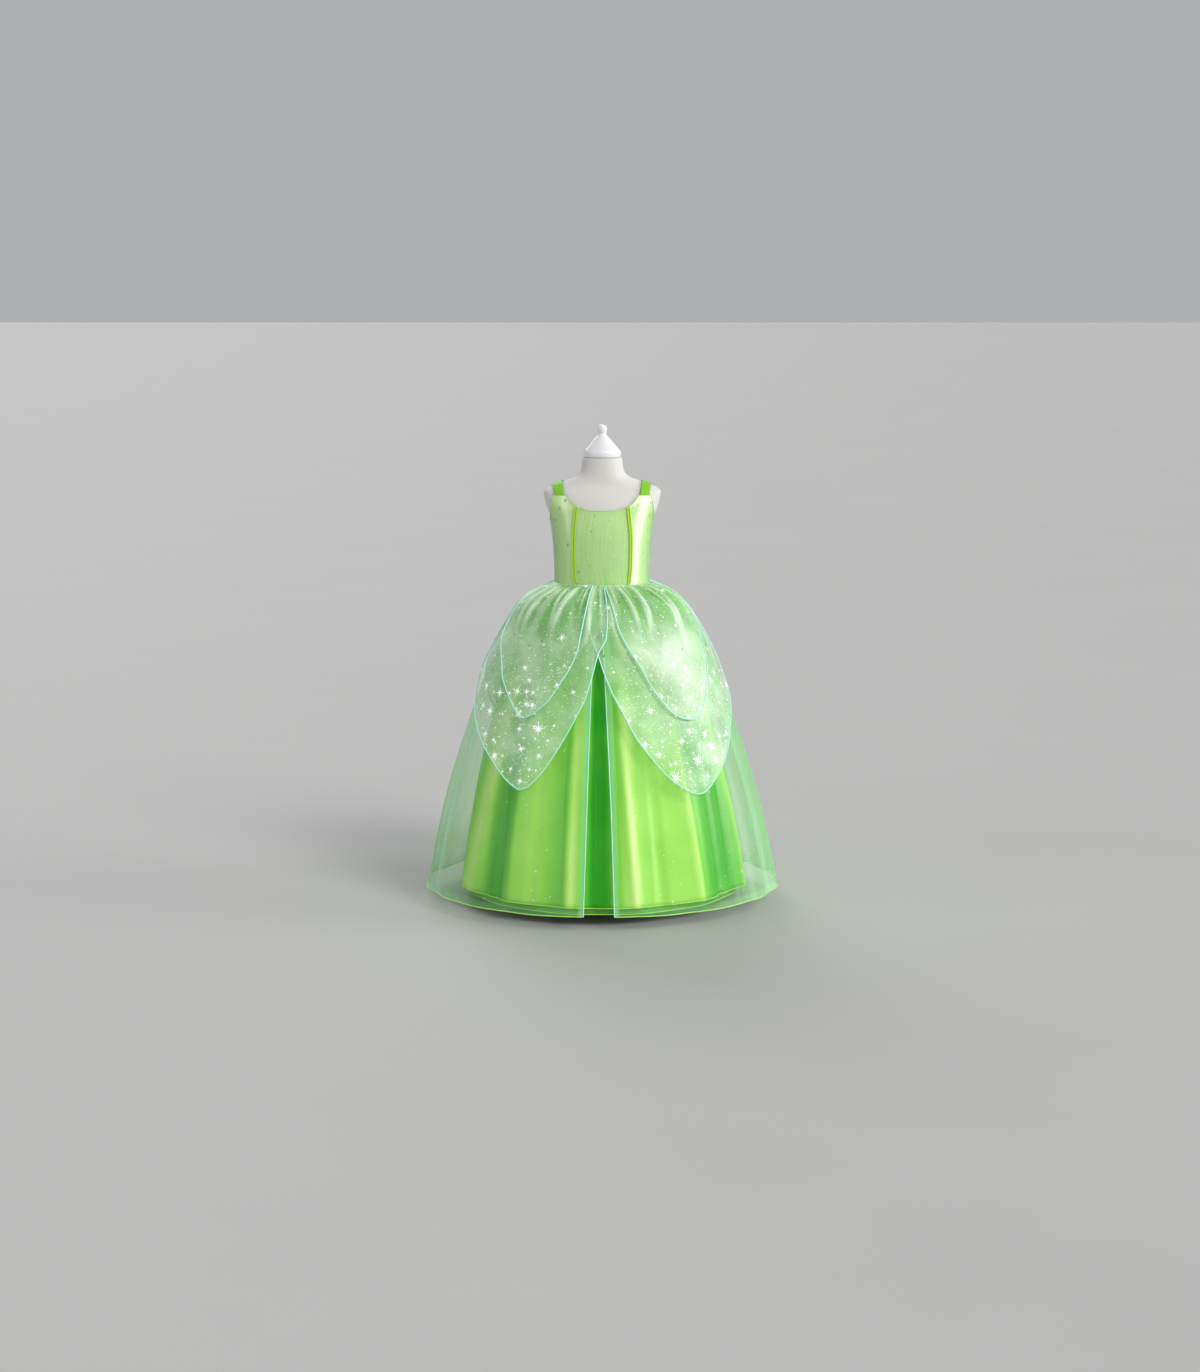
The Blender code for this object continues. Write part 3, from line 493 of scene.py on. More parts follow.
FORM_COVER = ClothFinish(
    "form_cover", (0.63, 0.61, 0.585), (0.68, 0.66, 0.635), 0.8, sheen=0.25, weave=Weave.KNIT,
)
WHITE_LACQUER = HardFinish("white_lacquer", (0.80, 0.80, 0.82), 0.28, coat=0.3, grain=12.0)
ZIP_METAL = HardFinish("zip_metal", (0.60, 0.62, 0.62), 0.3, metallic=1.0, grain=900.0)
ZIP_PLASTIC = HardFinish("zip_plastic", (0.20, 0.50, 0.04), 0.4, grain=400.0)
# The foil's white emission is a painted glow.
FOIL = HardFinish("silver_foil", (0.95, 0.97, 0.96), 0.30, glow=0.30, grain=300.0)
DARK_FOIL = HardFinish("dark_foil", (0.06, 0.14, 0.14), 0.3, metallic=0.4, grain=300.0)
FADED_FOIL = HardFinish("faded_foil", (0.23, 0.44, 0.34), 0.3, metallic=0.1, grain=300.0)
AQUA_THREAD = ThreadFinish("aqua_thread", (0.34, 0.80, 0.66), (0.60, 0.98, 0.88))
LIME_THREAD = ThreadFinish("lime_thread", (0.28, 0.66, 0.05), (0.50, 0.88, 0.14))
BRAID_THREAD = ThreadFinish("braid_thread", (0.36, 0.64, 0.01), (0.70, 0.95, 0.10), 0.35, 0.1)
# A core much darker than the braid's thread: painted shade between the lobes.
BRAID_SHADE_CORE = ThreadFinish("braid_core", (0.10, 0.32, 0.006), (0.16, 0.40, 0.01), 0.5)
BODICE_THREAD = ThreadFinish("bodice_thread", (0.34, 0.62, 0.16), (0.50, 0.78, 0.30))
COVER_THREAD = ThreadFinish("cover_seam", (0.52, 0.50, 0.48), (0.62, 0.60, 0.58), 0.8)


# Curves and surfaces


class Table:
    """A smooth curve through the rows of a short table, with no overshoot."""

    def __init__(self, *rows: tuple[float, float]) -> None:
        """Keep the rows, each a place and a value."""
        self.places = np.array([row[0] for row in rows], float)
        self.values = np.array([row[1] for row in rows], float)
        chords = np.diff(self.values) / np.diff(self.places)
        inner = np.zeros(len(chords) - 1)
        same = chords[:-1] * chords[1:] > 0.0
        inner[same] = (2.0 * chords[:-1] * chords[1:])[same] / (chords[:-1] + chords[1:])[same]
        self.slopes = np.concatenate([chords[:1], inner, chords[-1:]])

    def read(self, at: Points | float) -> Points:
        """Return the curve's value at each place.

        Args:
            at: the places, held between the curve's ends.

        Returns:
            The values.
        """
        at = np.clip(np.asarray(at, float), self.places[0], self.places[-1])
        index = np.clip(np.searchsorted(self.places, at, "right") - 1, 0, len(self.places) - 2)
        run = self.places[index + 1] - self.places[index]
        share = (at - self.places[index]) / run
        square, cube = share**2, share**3
        return (
            (2.0 * cube - 3.0 * square + 1.0) * self.values[index]
            + (cube - 2.0 * square + share) * run * self.slopes[index]
            + (3.0 * square - 2.0 * cube) * self.values[index + 1]
            + (cube - square) * run * self.slopes[index + 1]
        )


def rise_between(value: Points | float, start: float, end: float) -> Points:
    """Return 0 before start, 1 after end and a smooth rise between them."""
    share = np.clip((np.asarray(value, float) - start) / (end - start), 0.0, 1.0)
    return share * share * (3.0 - 2.0 * share)


def turned_away(angle: Points, other: Points | float) -> Points:
    """Return how far one angle is from another, in degrees."""
    return np.abs((angle - other + 180.0) % 360.0 - 180.0)


def ridge(distance: Points, half_width: Points | float) -> Points:
    """Return the height of a soft ridge, 1 at its crest and 0 past its half width."""
    share = np.clip(distance / half_width, 0.0, 1.0)
    return np.cos(np.pi / 2.0 * share) ** 2


def fixed(angle: float) -> Callable[[Points], Points]:
    """Return an edge function that stays at one angle."""
    return lambda along: np.full_like(along, angle)


def ring(
    angle: Points, height: Points, half_width: Points, front: Points, back: Points, square: Points
) -> Points:
    """Return points on rounded rings round the body.

    Args:
        angle: degrees from the centre front.
        height: height above the floor.
        half_width: half the ring's width.
        front: its depth in front of the axis.
        back: its depth behind the axis.
        square: 2 for an ellipse, more for a squarer ring.

    Returns:
        The points, with a last axis of three.
    """
    sine, cosine = np.sin(np.radians(angle)), np.cos(np.radians(angle))
    power = 2.0 / square
    depth = np.where(cosine >= 0.0, front, back)
    across = np.sign(sine) * np.abs(sine) ** power
    along = np.sign(cosine) * np.abs(cosine) ** power
    return np.stack(np.broadcast_arrays(half_width * across, -depth * along, height), -1)


def unit(vectors: Points) -> Points:
    """Return vectors at length 1."""
    return vectors / np.maximum(np.linalg.norm(vectors, axis=-1, keepdims=True), 1e-12)


class BodyShape:
    """The form's torso, as rings whose sizes follow its height."""

    HALF_WIDTH = Table(
        (0.500, 0.094), (0.512, 0.103), (0.550, 0.107), (0.610, 0.101), (0.660, 0.0955),
        (0.720, 0.0970), (0.765, 0.1010), (0.791, 0.1047), (0.815, 0.1130), (0.831, 0.1175),
        (0.847, 0.1200), (0.858, 0.1080), (0.867, 0.0830), (0.879, 0.0540), (0.890, 0.0445),
        (0.917, 0.0400),
    )
    FRONT = Table(
        (0.500, 0.064), (0.512, 0.072), (0.550, 0.077), (0.610, 0.076), (0.660, 0.078),
        (0.720, 0.082), (0.765, 0.084), (0.791, 0.082), (0.815, 0.077), (0.831, 0.070),
        (0.847, 0.057), (0.858, 0.046), (0.867, 0.042), (0.879, 0.041), (0.917, 0.040),
    )
    BACK = Table(
        (0.500, 0.074), (0.512, 0.084), (0.550, 0.090), (0.610, 0.083), (0.660, 0.077),
        (0.720, 0.077), (0.765, 0.080), (0.791, 0.080), (0.815, 0.077), (0.831, 0.071),
        (0.847, 0.060), (0.858, 0.050), (0.867, 0.045), (0.879, 0.043), (0.890, 0.042),
        (0.917, 0.040),
    )
    SQUARENESS = 2.25
    BODICE_EASE = 0.0030
    TOP_EDGE_EASE = 0.0016
    CHEST_HEIGHTS = (0.795, 0.835)

    @classmethod
    def ring(cls, angle: Points, height: Points) -> Points:
        """Return points on the form."""
        sizes = (cls.HALF_WIDTH.read(height), cls.FRONT.read(height), cls.BACK.read(height))
        return ring(angle, height, *sizes, cls.SQUARENESS)

    @classmethod
    def normal(cls, angle: Points, height: Points) -> Points:
        """Return the outward directions of the form's surface.

        Args:
            angle: degrees from the centre front.
            height: height above the floor.

        Returns:
            Unit vectors, with a last axis of three.
        """
        along = cls.ring(angle + 0.5, height) - cls.ring(angle - 0.5, height)
        up = cls.ring(angle, height + 0.003) - cls.ring(angle, height - 0.003)
        return unit(np.cross(along, up))

    @classmethod
    def bodice(cls, angle: Points, height: Points, lift: Points | float = 0.0) -> Points:
        """Return points on the outside of the bodice, or a lift outside it.

        Args:
            angle: degrees from the centre front.
            height: height above the floor.
            lift: distance outside the bodice.

        Returns:
            The points, with a last axis of three.
        """
        angle, height = np.broadcast_arrays(np.asarray(angle, float), np.asarray(height, float))
        ease = cls.BODICE_EASE + cls.TOP_EDGE_EASE * rise_between(height, *cls.CHEST_HEIGHTS) + lift
        return cls.ring(angle, height) + cls.normal(angle, height) * ease[..., None]

    @classmethod
    def angle_at(cls, distance: Points, height: Points) -> Points:
        """Return the angle at which the bodice is a distance across from its centre."""
        half_width = cls.HALF_WIDTH.read(height) + cls.BODICE_EASE
        return np.degrees(np.arcsin((distance / half_width) ** (cls.SQUARENESS / 2.0)))


@dataclass(frozen=True)
class Fold:
    """A long fold that grows from the hips to the hem."""

    angle: float
    half_angle: float
    height: float


@dataclass(frozen=True)
class Crease:
    """A narrow ridge or trough in a layer, which may lean sideways on its way down."""

    angle: float
    lean: float
    half_angle: float
    height: float
    start: float
    end: float


@dataclass(frozen=True)
class SkirtLayer:
    """One layer of the skirt: its hem ring, its place in the stack and its folds."""

    half_width: float
    front: float
    back: float
    hem_height: float
    lift: float
    gathers: float
    folds: tuple[Fold, ...]
    creases: tuple[Crease, ...] = ()

    WAIST_HEIGHT = 0.660
    WAIST = (0.0990, 0.0815, 0.0805)
    FLARE = Table(
        (0.000, 0.000), (0.015, 0.120), (0.032, 0.210), (0.065, 0.308), (0.100, 0.390),
        (0.166, 0.515), (0.234, 0.607), (0.319, 0.715), (0.420, 0.830), (0.522, 0.920),
        (0.630, 1.000),
    )
    GATHER_COUNT = 40
    GATHER_HEIGHT = 0.0022

    @property
    def length(self) -> float:
        """The drop of the hem."""
        return self.WAIST_HEIGHT - self.hem_height

    def ring(self, angle: Points, drop: Points) -> Points:
        """Return points on the layer's plain bell.

        Args:
            angle: degrees from the centre front.
            drop: distance below the waist.

        Returns:
            The points, with a last axis of three.
        """
        share = self.FLARE.read(drop)
        square = BodyShape.SQUARENESS + (2.0 - BodyShape.SQUARENESS) * rise_between(drop, 0.0, 0.1)
        hem = (self.half_width, self.front, self.back)
        sizes = [waist + (end - waist) * share for waist, end in zip(self.WAIST, hem)]
        return ring(angle, self.WAIST_HEIGHT - drop, *sizes, square)

    def normal(self, angle: Points, drop: Points) -> Points:
        """Return the outward directions of the layer's plain bell.

        Args:
            angle: degrees from the centre front.
            drop: distance below the waist.

        Returns:
            Unit vectors, with a last axis of three.
        """
        along = self.ring(angle + 0.5, drop) - self.ring(angle - 0.5, drop)
        down = self.ring(angle, drop + 0.002) - self.ring(angle, np.maximum(0.0, drop - 0.002))
        return unit(np.cross(down, along))

    def fold_rise(self, angle: Points, drop: Points) -> Points:
        """Return how far the long folds stand out.

        Args:
            angle: degrees from the centre front.
            drop: distance below the waist.

        Returns:
            The rise in metres.
        """
        rise = np.zeros(np.broadcast(angle, drop).shape)
        for fold in self.folds:
            rise = rise + fold.height * ridge(turned_away(angle, fold.angle), fold.half_angle)
        return rise * rise_between(drop, 0.10, 0.60)

    def gather_rise(self, angle: Points, drop: Points) -> Points:
        """Return the small uneven gathers below the waist seam.

        Args:
            angle: degrees from the centre front.
            drop: distance below the waist.

        Returns:
            The rise in metres.
        """
        wave = 0.5 + 0.5 * np.cos(np.radians(self.GATHER_COUNT * angle))
        uneven = 0.75 + 0.25 * np.sin(np.radians(7.0 * angle) + 1.0)
        fade = rise_between(drop, 0.0, 0.030) * (1.0 - rise_between(drop, 0.045, 0.130))
        return self.gathers * self.GATHER_HEIGHT * wave * uneven * fade

    def crease_rise(self, angle: Points, drop: Points) -> Points:
        """Return the narrow creases, in front and alike behind.

        Args:
            angle: degrees from the centre front.
            drop: distance below the waist.

        Returns:
            The rise in metres.
        """
        rise = np.zeros(np.broadcast(angle, drop).shape)
        for crease in self.creases:
            run = np.clip((drop - crease.start) / (crease.end - crease.start), 0.0, 1.0)
            swell = np.sin(np.pi * np.clip(run * 0.72 + 0.02, 0.0, 1.0)) ** 0.8
            swell = np.where((drop < crease.start) | (run >= 1.0), 0.0, swell)
            for centre in (
                crease.angle + crease.lean * run,
                180.0 - 0.94 * crease.angle - crease.lean * run,
            ):
                away = turned_away(angle, centre)
                rise = rise + crease.height * swell * ridge(away, crease.half_angle)
        return rise

    def point(self, angle: Points, drop: Points, lift: Points | float = 0.0) -> Points:
        """Return points on the layer, its folds, gathers and creases included.

        Args:
            angle: degrees from the centre front.
            drop: distance below the waist.
            lift: distance outside the layer.

        Returns:
            The points, with a last axis of three.
        """
        angle, drop = np.broadcast_arrays(np.asarray(angle, float), np.asarray(drop, float))
        rise = self.lift + lift + self.fold_rise(angle, drop)
        rise = rise + self.gather_rise(angle, drop) + self.crease_rise(angle, drop)
        return self.ring(angle, drop) + self.normal(angle, drop) * rise[..., None]


# Painted light and shade of the skirt's satin: a lightness for each angle round the body, from painted
# shade near 0 to painted highlights near 1.
SATIN_PAINTED_LIGHT = Table(
    (-180.0, 0.30), (-163.0, 0.95), (-151.0, 0.10), (-138.0, 0.95), (-122.0, 0.45),
    (-108.0, 1.00), (-97.0, 0.25), (-84.0, 0.50), (-75.0, 0.50), (-64.5, 1.00), (-56.0, 0.42),
    (-50.0, 0.04), (-44.0, 0.14), (-38.0, 0.60), (-30.0, 0.72), (-22.0, 0.56), (-17.0, 0.44),
    (-12.0, 0.95), (-8.0, 0.36), (-4.0, 0.02), (1.5, 0.02), (5.0, 0.34), (9.0, 0.62),
    (13.0, 0.98), (18.0, 0.64), (30.0, 0.70), (36.0, 0.66), (40.5, 0.82), (44.5, 0.38),
    (49.0, 0.08), (64.0, 0.06), (70.0, 0.30), (75.5, 1.00), (81.0, 0.40), (92.0, 0.14),
    (105.0, 1.00), (117.0, 0.20), (132.0, 0.90), (146.0, 0.10), (160.0, 0.95), (171.0, 0.40),
    (180.0, 0.30),
)
SATIN_CREASES = tuple(Crease(*row) for row in (
    (-69.0, -2.0, 4.5, 0.0050, 0.20, 0.80),
    (-57.0, 3.0, 4.0, -0.0040, 0.22, 0.80),
    (-47.0, 1.0, 4.0, -0.0060, 0.18, 0.82),
    (-40.0, 3.0, 4.0, 0.0050, 0.22, 0.80),
    (-28.0, -2.0, 3.5, -0.0035, 0.26, 0.80),
    (-15.0, 2.0, 3.2, 0.0050, 0.18, 0.80),
    (-5.0, 1.0, 3.2, -0.0050, 0.14, 0.80),
    (3.0, 0.0, 2.4, -0.0030, 0.20, 0.80),
    (7.5, 8.0, 3.2, 0.0055, 0.20, 0.80),
    (22.0, 4.0, 4.0, -0.0040, 0.24, 0.82),
    (37.0, 6.0, 4.0, 0.0055, 0.24, 0.80),
    (52.0, 4.0, 4.4, -0.0060, 0.20, 0.82),
    (64.0, 0.0, 3.4, -0.0035, 0.26, 0.80),
    (68.0, 6.0, 4.2, 0.0050, 0.24, 0.80),
    (80.0, 2.0, 3.6, -0.0035, 0.30, 0.82),
))
OVERSKIRT_CREASES = tuple(Crease(*row) for row in (
    (-84.0, -2.0, 3.0, 0.0022, 0.20, 0.74),
    (-71.0, 2.0, 2.6, 0.0020, 0.30, 0.74),
    (-52.0, 2.0, 3.4, 0.0022, 0.22, 0.72),
    (-33.0, -2.0, 2.8, 0.0018, 0.18, 0.70),
    (-13.0, 1.0, 3.0, 0.0020, 0.14, 0.72),
    (12.0, 2.0, 3.0, 0.0020, 0.14, 0.70),
    (30.0, 3.0, 3.2, 0.0018, 0.20, 0.74),
    (52.0, -1.0, 3.4, 0.0022, 0.24, 0.72),
    (72.0, 2.0, 2.8, 0.0022, 0.22, 0.74),
    (86.0, 1.0, 3.0, 0.0020, 0.30, 0.74),
))
UNDERSKIRT = SkirtLayer(
    0.287, 0.290, 0.292, 0.026, -0.0034, 0.0,
    tuple(Fold(float(turn), 15.0, 0.004) for turn in range(-165, 166, 30)),
)
SATIN = SkirtLayer(
    0.296, 0.297, 0.303, 0.040, -0.0017, 0.6,
    tuple(Fold(*row) for row in (
        (-65.0, 15.0, 0.013), (-36.0, 15.0, 0.013), (-12.5, 10.0, 0.009),
        (9.0, 12.0, 0.010), (42.5, 18.0, 0.014), (74.0, 15.0, 0.013),
        (105.0, 14.0, 0.012), (132.0, 15.0, 0.014), (160.0, 14.0, 0.012),
        (-163.0, 13.0, 0.011), (-138.0, 15.0, 0.013), (-108.0, 15.0, 0.012),
    )),
    SATIN_CREASES,
)
OVERSKIRT = SkirtLayer(
    0.361, 0.327, 0.3235, 0.030, 0.0, 0.8,
    tuple(Fold(*row) for row in (
        (-79.0, 10.0, 0.008), (-61.0, 10.0, 0.007), (-44.0, 12.0, 0.006),
        (-22.0, 11.0, 0.006), (20.0, 11.0, 0.006), (41.0, 12.0, 0.006),
        (62.0, 10.0, 0.007), (80.0, 9.0, 0.008), (101.0, 10.0, 0.009),
        (122.0, 12.0, 0.008), (144.0, 11.0, 0.008), (167.0, 12.0, 0.006),
        (-170.0, 11.0, 0.007), (-149.0, 11.0, 0.008), (-127.0, 12.0, 0.008),
        (-103.0, 12.0, 0.009),
    )),
    OVERSKIRT_CREASES,
)


def grid_object(
    name: str,
    points: Points,
    finish: Finish,
    wall: float = 0.0,
    closed: bool = False,
    weights: dict[str, Points] | None = None,
) -> bpy.types.Object:
    """Make a smooth surface through a grid of points.

    Args:
        name: the piece's name.
        points: rows from the top down, each with its columns from -X to +X in front.
        finish: the surface's finish.
        wall: the cloth's thickness, built inwards; 0 leaves a single sheet.
        closed: whether each row closes on itself.
        weights: numbers to store on the points, by attribute name.

    Returns:
        The object, at the origin.
    """
    rows, columns = points.shape[:2]
    index = np.arange(rows * columns).reshape(rows, columns)
    right = np.roll(index, -1, axis=1) if closed else index[:, 1:]
    left = index if closed else index[:, :-1]
    faces = np.stack([left[:-1], left[1:], right[1:], right[:-1]], -1).reshape(-1, 4)
    mesh = bpy.data.meshes.new(name)
    mesh.from_pydata(points.reshape(-1, 3).tolist(), [], faces.tolist())
    across = np.linalg.norm(np.diff(points, axis=1, prepend=points[:, :1]), axis=-1).cumsum(1)
    down = np.linalg.norm(np.diff(points, axis=0, prepend=points[:1]), axis=-1).cumsum(0)
    flat = np.stack([across, down], -1).reshape(-1, 2)
    layer = mesh.uv_layers.new(name=CLOTH_UV)
    layer.data.foreach_set("uv", flat[faces.reshape(-1)].reshape(-1).astype(np.float32))
    for key, values in (weights or {}).items():
        stored = mesh.attributes.new(key, "FLOAT", "POINT")
        stored.data.foreach_set("value", values.reshape(-1).astype(np.float32))
    mesh.shade_smooth()
    mesh.materials.append(finish.material())
    piece = bpy.data.objects.new(name, mesh)
    bpy.context.scene.collection.objects.link(piece)
    if wall > 0.0:
        solidify = piece.modifiers.new("cloth_wall", "SOLIDIFY")
        solidify.thickness = wall
        solidify.offset = -1.0
    return piece


def declare_cut(points: Points) -> None:
    """Work out the width, length and area of a panel's cut, which nothing keeps.

    Args:
        points: the grid that it was made through.
    """
    across = np.linalg.norm(np.diff(points, axis=1), axis=-1)
    down = np.linalg.norm(np.diff(points, axis=0), axis=-1)
    width, length = float(across.sum(1).max()), float(down.sum(0).max())
    area = float(((across[:-1] + across[1:]) * (down[:, :-1] + down[:, 1:])).sum()) / 4.0
    area = min(width * length, max(area, 0.32 * width * length))


def dress_piece(piece: bpy.types.Object, slot: str, *nodes: str) -> bpy.types.Object:
    """Fix a piece to the dress, set its slot and hide the solids that it stands for.

    Args:
        piece: the piece.
        slot: the name of its slot.
        nodes: the solids' nodes, if it stands for any.

    Returns:
        The piece.
    """
    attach(piece, DRESS_BODY)
    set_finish(piece, slot)
    if nodes:
        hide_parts(*nodes)
    LOG.info("%s: %d faces", piece.name, len(piece.data.polygons))
    return piece


def bare_copy(piece: bpy.types.Object) -> bpy.types.Object:
    """Return a copy of a piece without its modifiers, to run a node tree on.

    Args:
        piece: the piece.

    Returns:
        The copy.
    """
    carrier = piece.copy()
    carrier.data = piece.data.copy()
    carrier.modifiers.clear()
    bpy.context.scene.collection.objects.link(carrier)
    return carrier


def bake_object(carrier: bpy.types.Object, name: str) -> bpy.types.Object:
    """Return the evaluated mesh of a carrier as a plain object and remove the carrier.

    Args:
        carrier: the object with the tree.
        name: the new object's name.

    Returns:
        The new object.
    """
    bpy.context.view_layer.update()
    evaluated = carrier.evaluated_get(bpy.context.evaluated_depsgraph_get())
    mesh = bpy.data.meshes.new_from_object(evaluated)
    mesh.name = name
    piece = bpy.data.objects.new(name, mesh)
    bpy.context.scene.collection.objects.link(piece)
    bpy.data.objects.remove(carrier, do_unlink=True)
    return piece


# Node trees for what repeats


class NodeTree:
    """A Geometry Nodes tree with named inputs."""

    def __init__(self, name: str, inputs: dict[str, tuple[str, Any]]) -> None:
        """Start a tree.

        Args:
            name: the tree's name.
            inputs: each input's socket type and default value, by name.
        """
        self.group = bpy.data.node_groups.new(name, "GeometryNodeTree")
        sockets = self.group.interface
        sockets.new_socket("Geometry", in_out="INPUT", socket_type="NodeSocketGeometry")
        self.identifiers: dict[str, str] = {}
        for key, (kind, value) in inputs.items():
            made = sockets.new_socket(key, in_out="INPUT", socket_type=kind)
            if kind != "NodeSocketMaterial":
                made.default_value = value
            self.identifiers[key] = made.identifier
        sockets.new_socket("Geometry", in_out="OUTPUT", socket_type="NodeSocketGeometry")
        self.source = self.group.nodes.new("NodeGroupInput")
        self.target = self.group.nodes.new("NodeGroupOutput")

    def node(
        self, kind: str, settings: dict[str, Any] | None = None, inputs: dict[Any, Any] | None = None
    ) -> bpy.types.Node:
        """Add a node, with its settings and the values or links of its inputs.

        Args:
            kind: the node's type.
            settings: its properties.
            inputs: the values or links of its sockets, by name or number.

        Returns:
            The node.
        """
        made = self.group.nodes.new(kind)
        for key, value in (settings or {}).items():
            setattr(made, key, value)
        for key, value in (inputs or {}).items():
            if isinstance(value, bpy.types.NodeSocket):
                self.group.links.new(value, made.inputs[key])
            else:
                made.inputs[key].default_value = value
        return made

    def math(self, operation: str, first: Any, second: Any) -> bpy.types.NodeSocket:
        """Return the result of a Math node."""
        return self.node("ShaderNodeMath", {"operation": operation}, {0: first, 1: second}).outputs[0]

    def end(self, geometry: bpy.types.NodeSocket) -> None:
        """Realize the instances, set the material and link the tree's output.

        Args:
            geometry: the geometry that the tree made.
        """
        real = self.node("GeometryNodeRealizeInstances", None, {0: geometry})
        dressed = self.node(
            "GeometryNodeSetMaterial", None,
            {"Geometry": real.outputs[0], "Material": self.source.outputs["Material"]},
        )
        self.group.links.new(dressed.outputs[0], self.target.inputs[0])

    def run(self, carrier: bpy.types.Object, name: str, values: dict[str, Any]) -> bpy.types.Object:
        """Run the tree on a carrier object and return the result as a plain object.

        Args:
            carrier: the object to run it on.
            name: the new object's name.
            values: the tree's inputs, by name.

        Returns:
            The new object.
        """
        modifier = carrier.modifiers.new("nodes", "NODES")
        modifier.node_group = self.group
        for key, value in values.items():
            modifier[self.identifiers[key]] = value
        return bake_object(carrier, name)


class RolledEdgeTree(NodeTree):
    """Sweeps an overlocked edge of small bumps along a path."""

    def __init__(self) -> None:
        """Build the tree."""
        super().__init__(
            "rolled_edge",
            {
                "Stitch Length": ("NodeSocketFloat", 0.0016),
                "Radius": ("NodeSocketFloat", 0.001),
                "Bump": ("NodeSocketFloat", 0.25),
                "Material": ("NodeSocketMaterial", None),
            },
        )
        inputs = self.source.outputs
        curve = self.node("GeometryNodeMeshToCurve", None, {"Mesh": inputs["Geometry"]})
        spaced = self.node(
            "GeometryNodeResampleCurve", {"mode": "LENGTH"},
            {"Curve": curve.outputs[0], "Length": inputs["Stitch Length"]},
        )
        index = self.node("GeometryNodeInputIndex")
        odd = self.math("MODULO", index.outputs[0], 2.0)
        swell = self.math("ADD", 1.0, self.math("MULTIPLY", odd, inputs["Bump"]))
        profile = self.node(
            "GeometryNodeCurvePrimitiveCircle", None,
            {"Resolution": 7, "Radius": inputs["Radius"]},
        )
        swept = self.node(
            "GeometryNodeCurveToMesh", None,
            {
                "Curve": spaced.outputs[0],
                "Profile Curve": profile.outputs[0],
                "Fill Caps": True,
                "Scale": swell,
            },
        )
        self.end(swept.outputs[0])

    def lay(
        self, name: str, paths: list[Points], radius: float, finish: ThreadFinish, stitch: float
    ) -> bpy.types.Object:
        """Return a rolled edge along one or more open paths.

        Args:
            name: the piece's name.
            paths: the points of each path.
            radius: the thread's radius.
            finish: the thread's finish.
            stitch: the distance from one stitch to the next.

        Returns:
            The edge as a plain object.
        """
        carrier = path_object(name + "_path", paths)
        values = {"Radius": radius, "Stitch Length": stitch, "Material": finish.material()}
        edge = self.run(carrier, name, values)
        edge.data.shade_smooth()
        return edge


def path_object(name: str, paths: list[Points]) -> bpy.types.Object:
    """Return a mesh of edges along open paths.

    Args:
        name: the object's name.
        paths: the points of each path.

    Returns:
        The object.
    """
    vertices: list[list[float]] = []
    edges: list[tuple[int, int]] = []
    for path in paths:
        start = len(vertices)
        vertices.extend(path.tolist())
        edges.extend((start + i, start + i + 1) for i in range(len(path) - 1))
    mesh = bpy.data.meshes.new(name)
    mesh.from_pydata(vertices, edges, [])
    carrier = bpy.data.objects.new(name, mesh)
    bpy.context.scene.collection.objects.link(carrier)
    return carrier


class FoilShape(Enum):
    """What a piece of foil is cut as."""

    STAR = "foil_stars"
    DOT = "foil_dots"


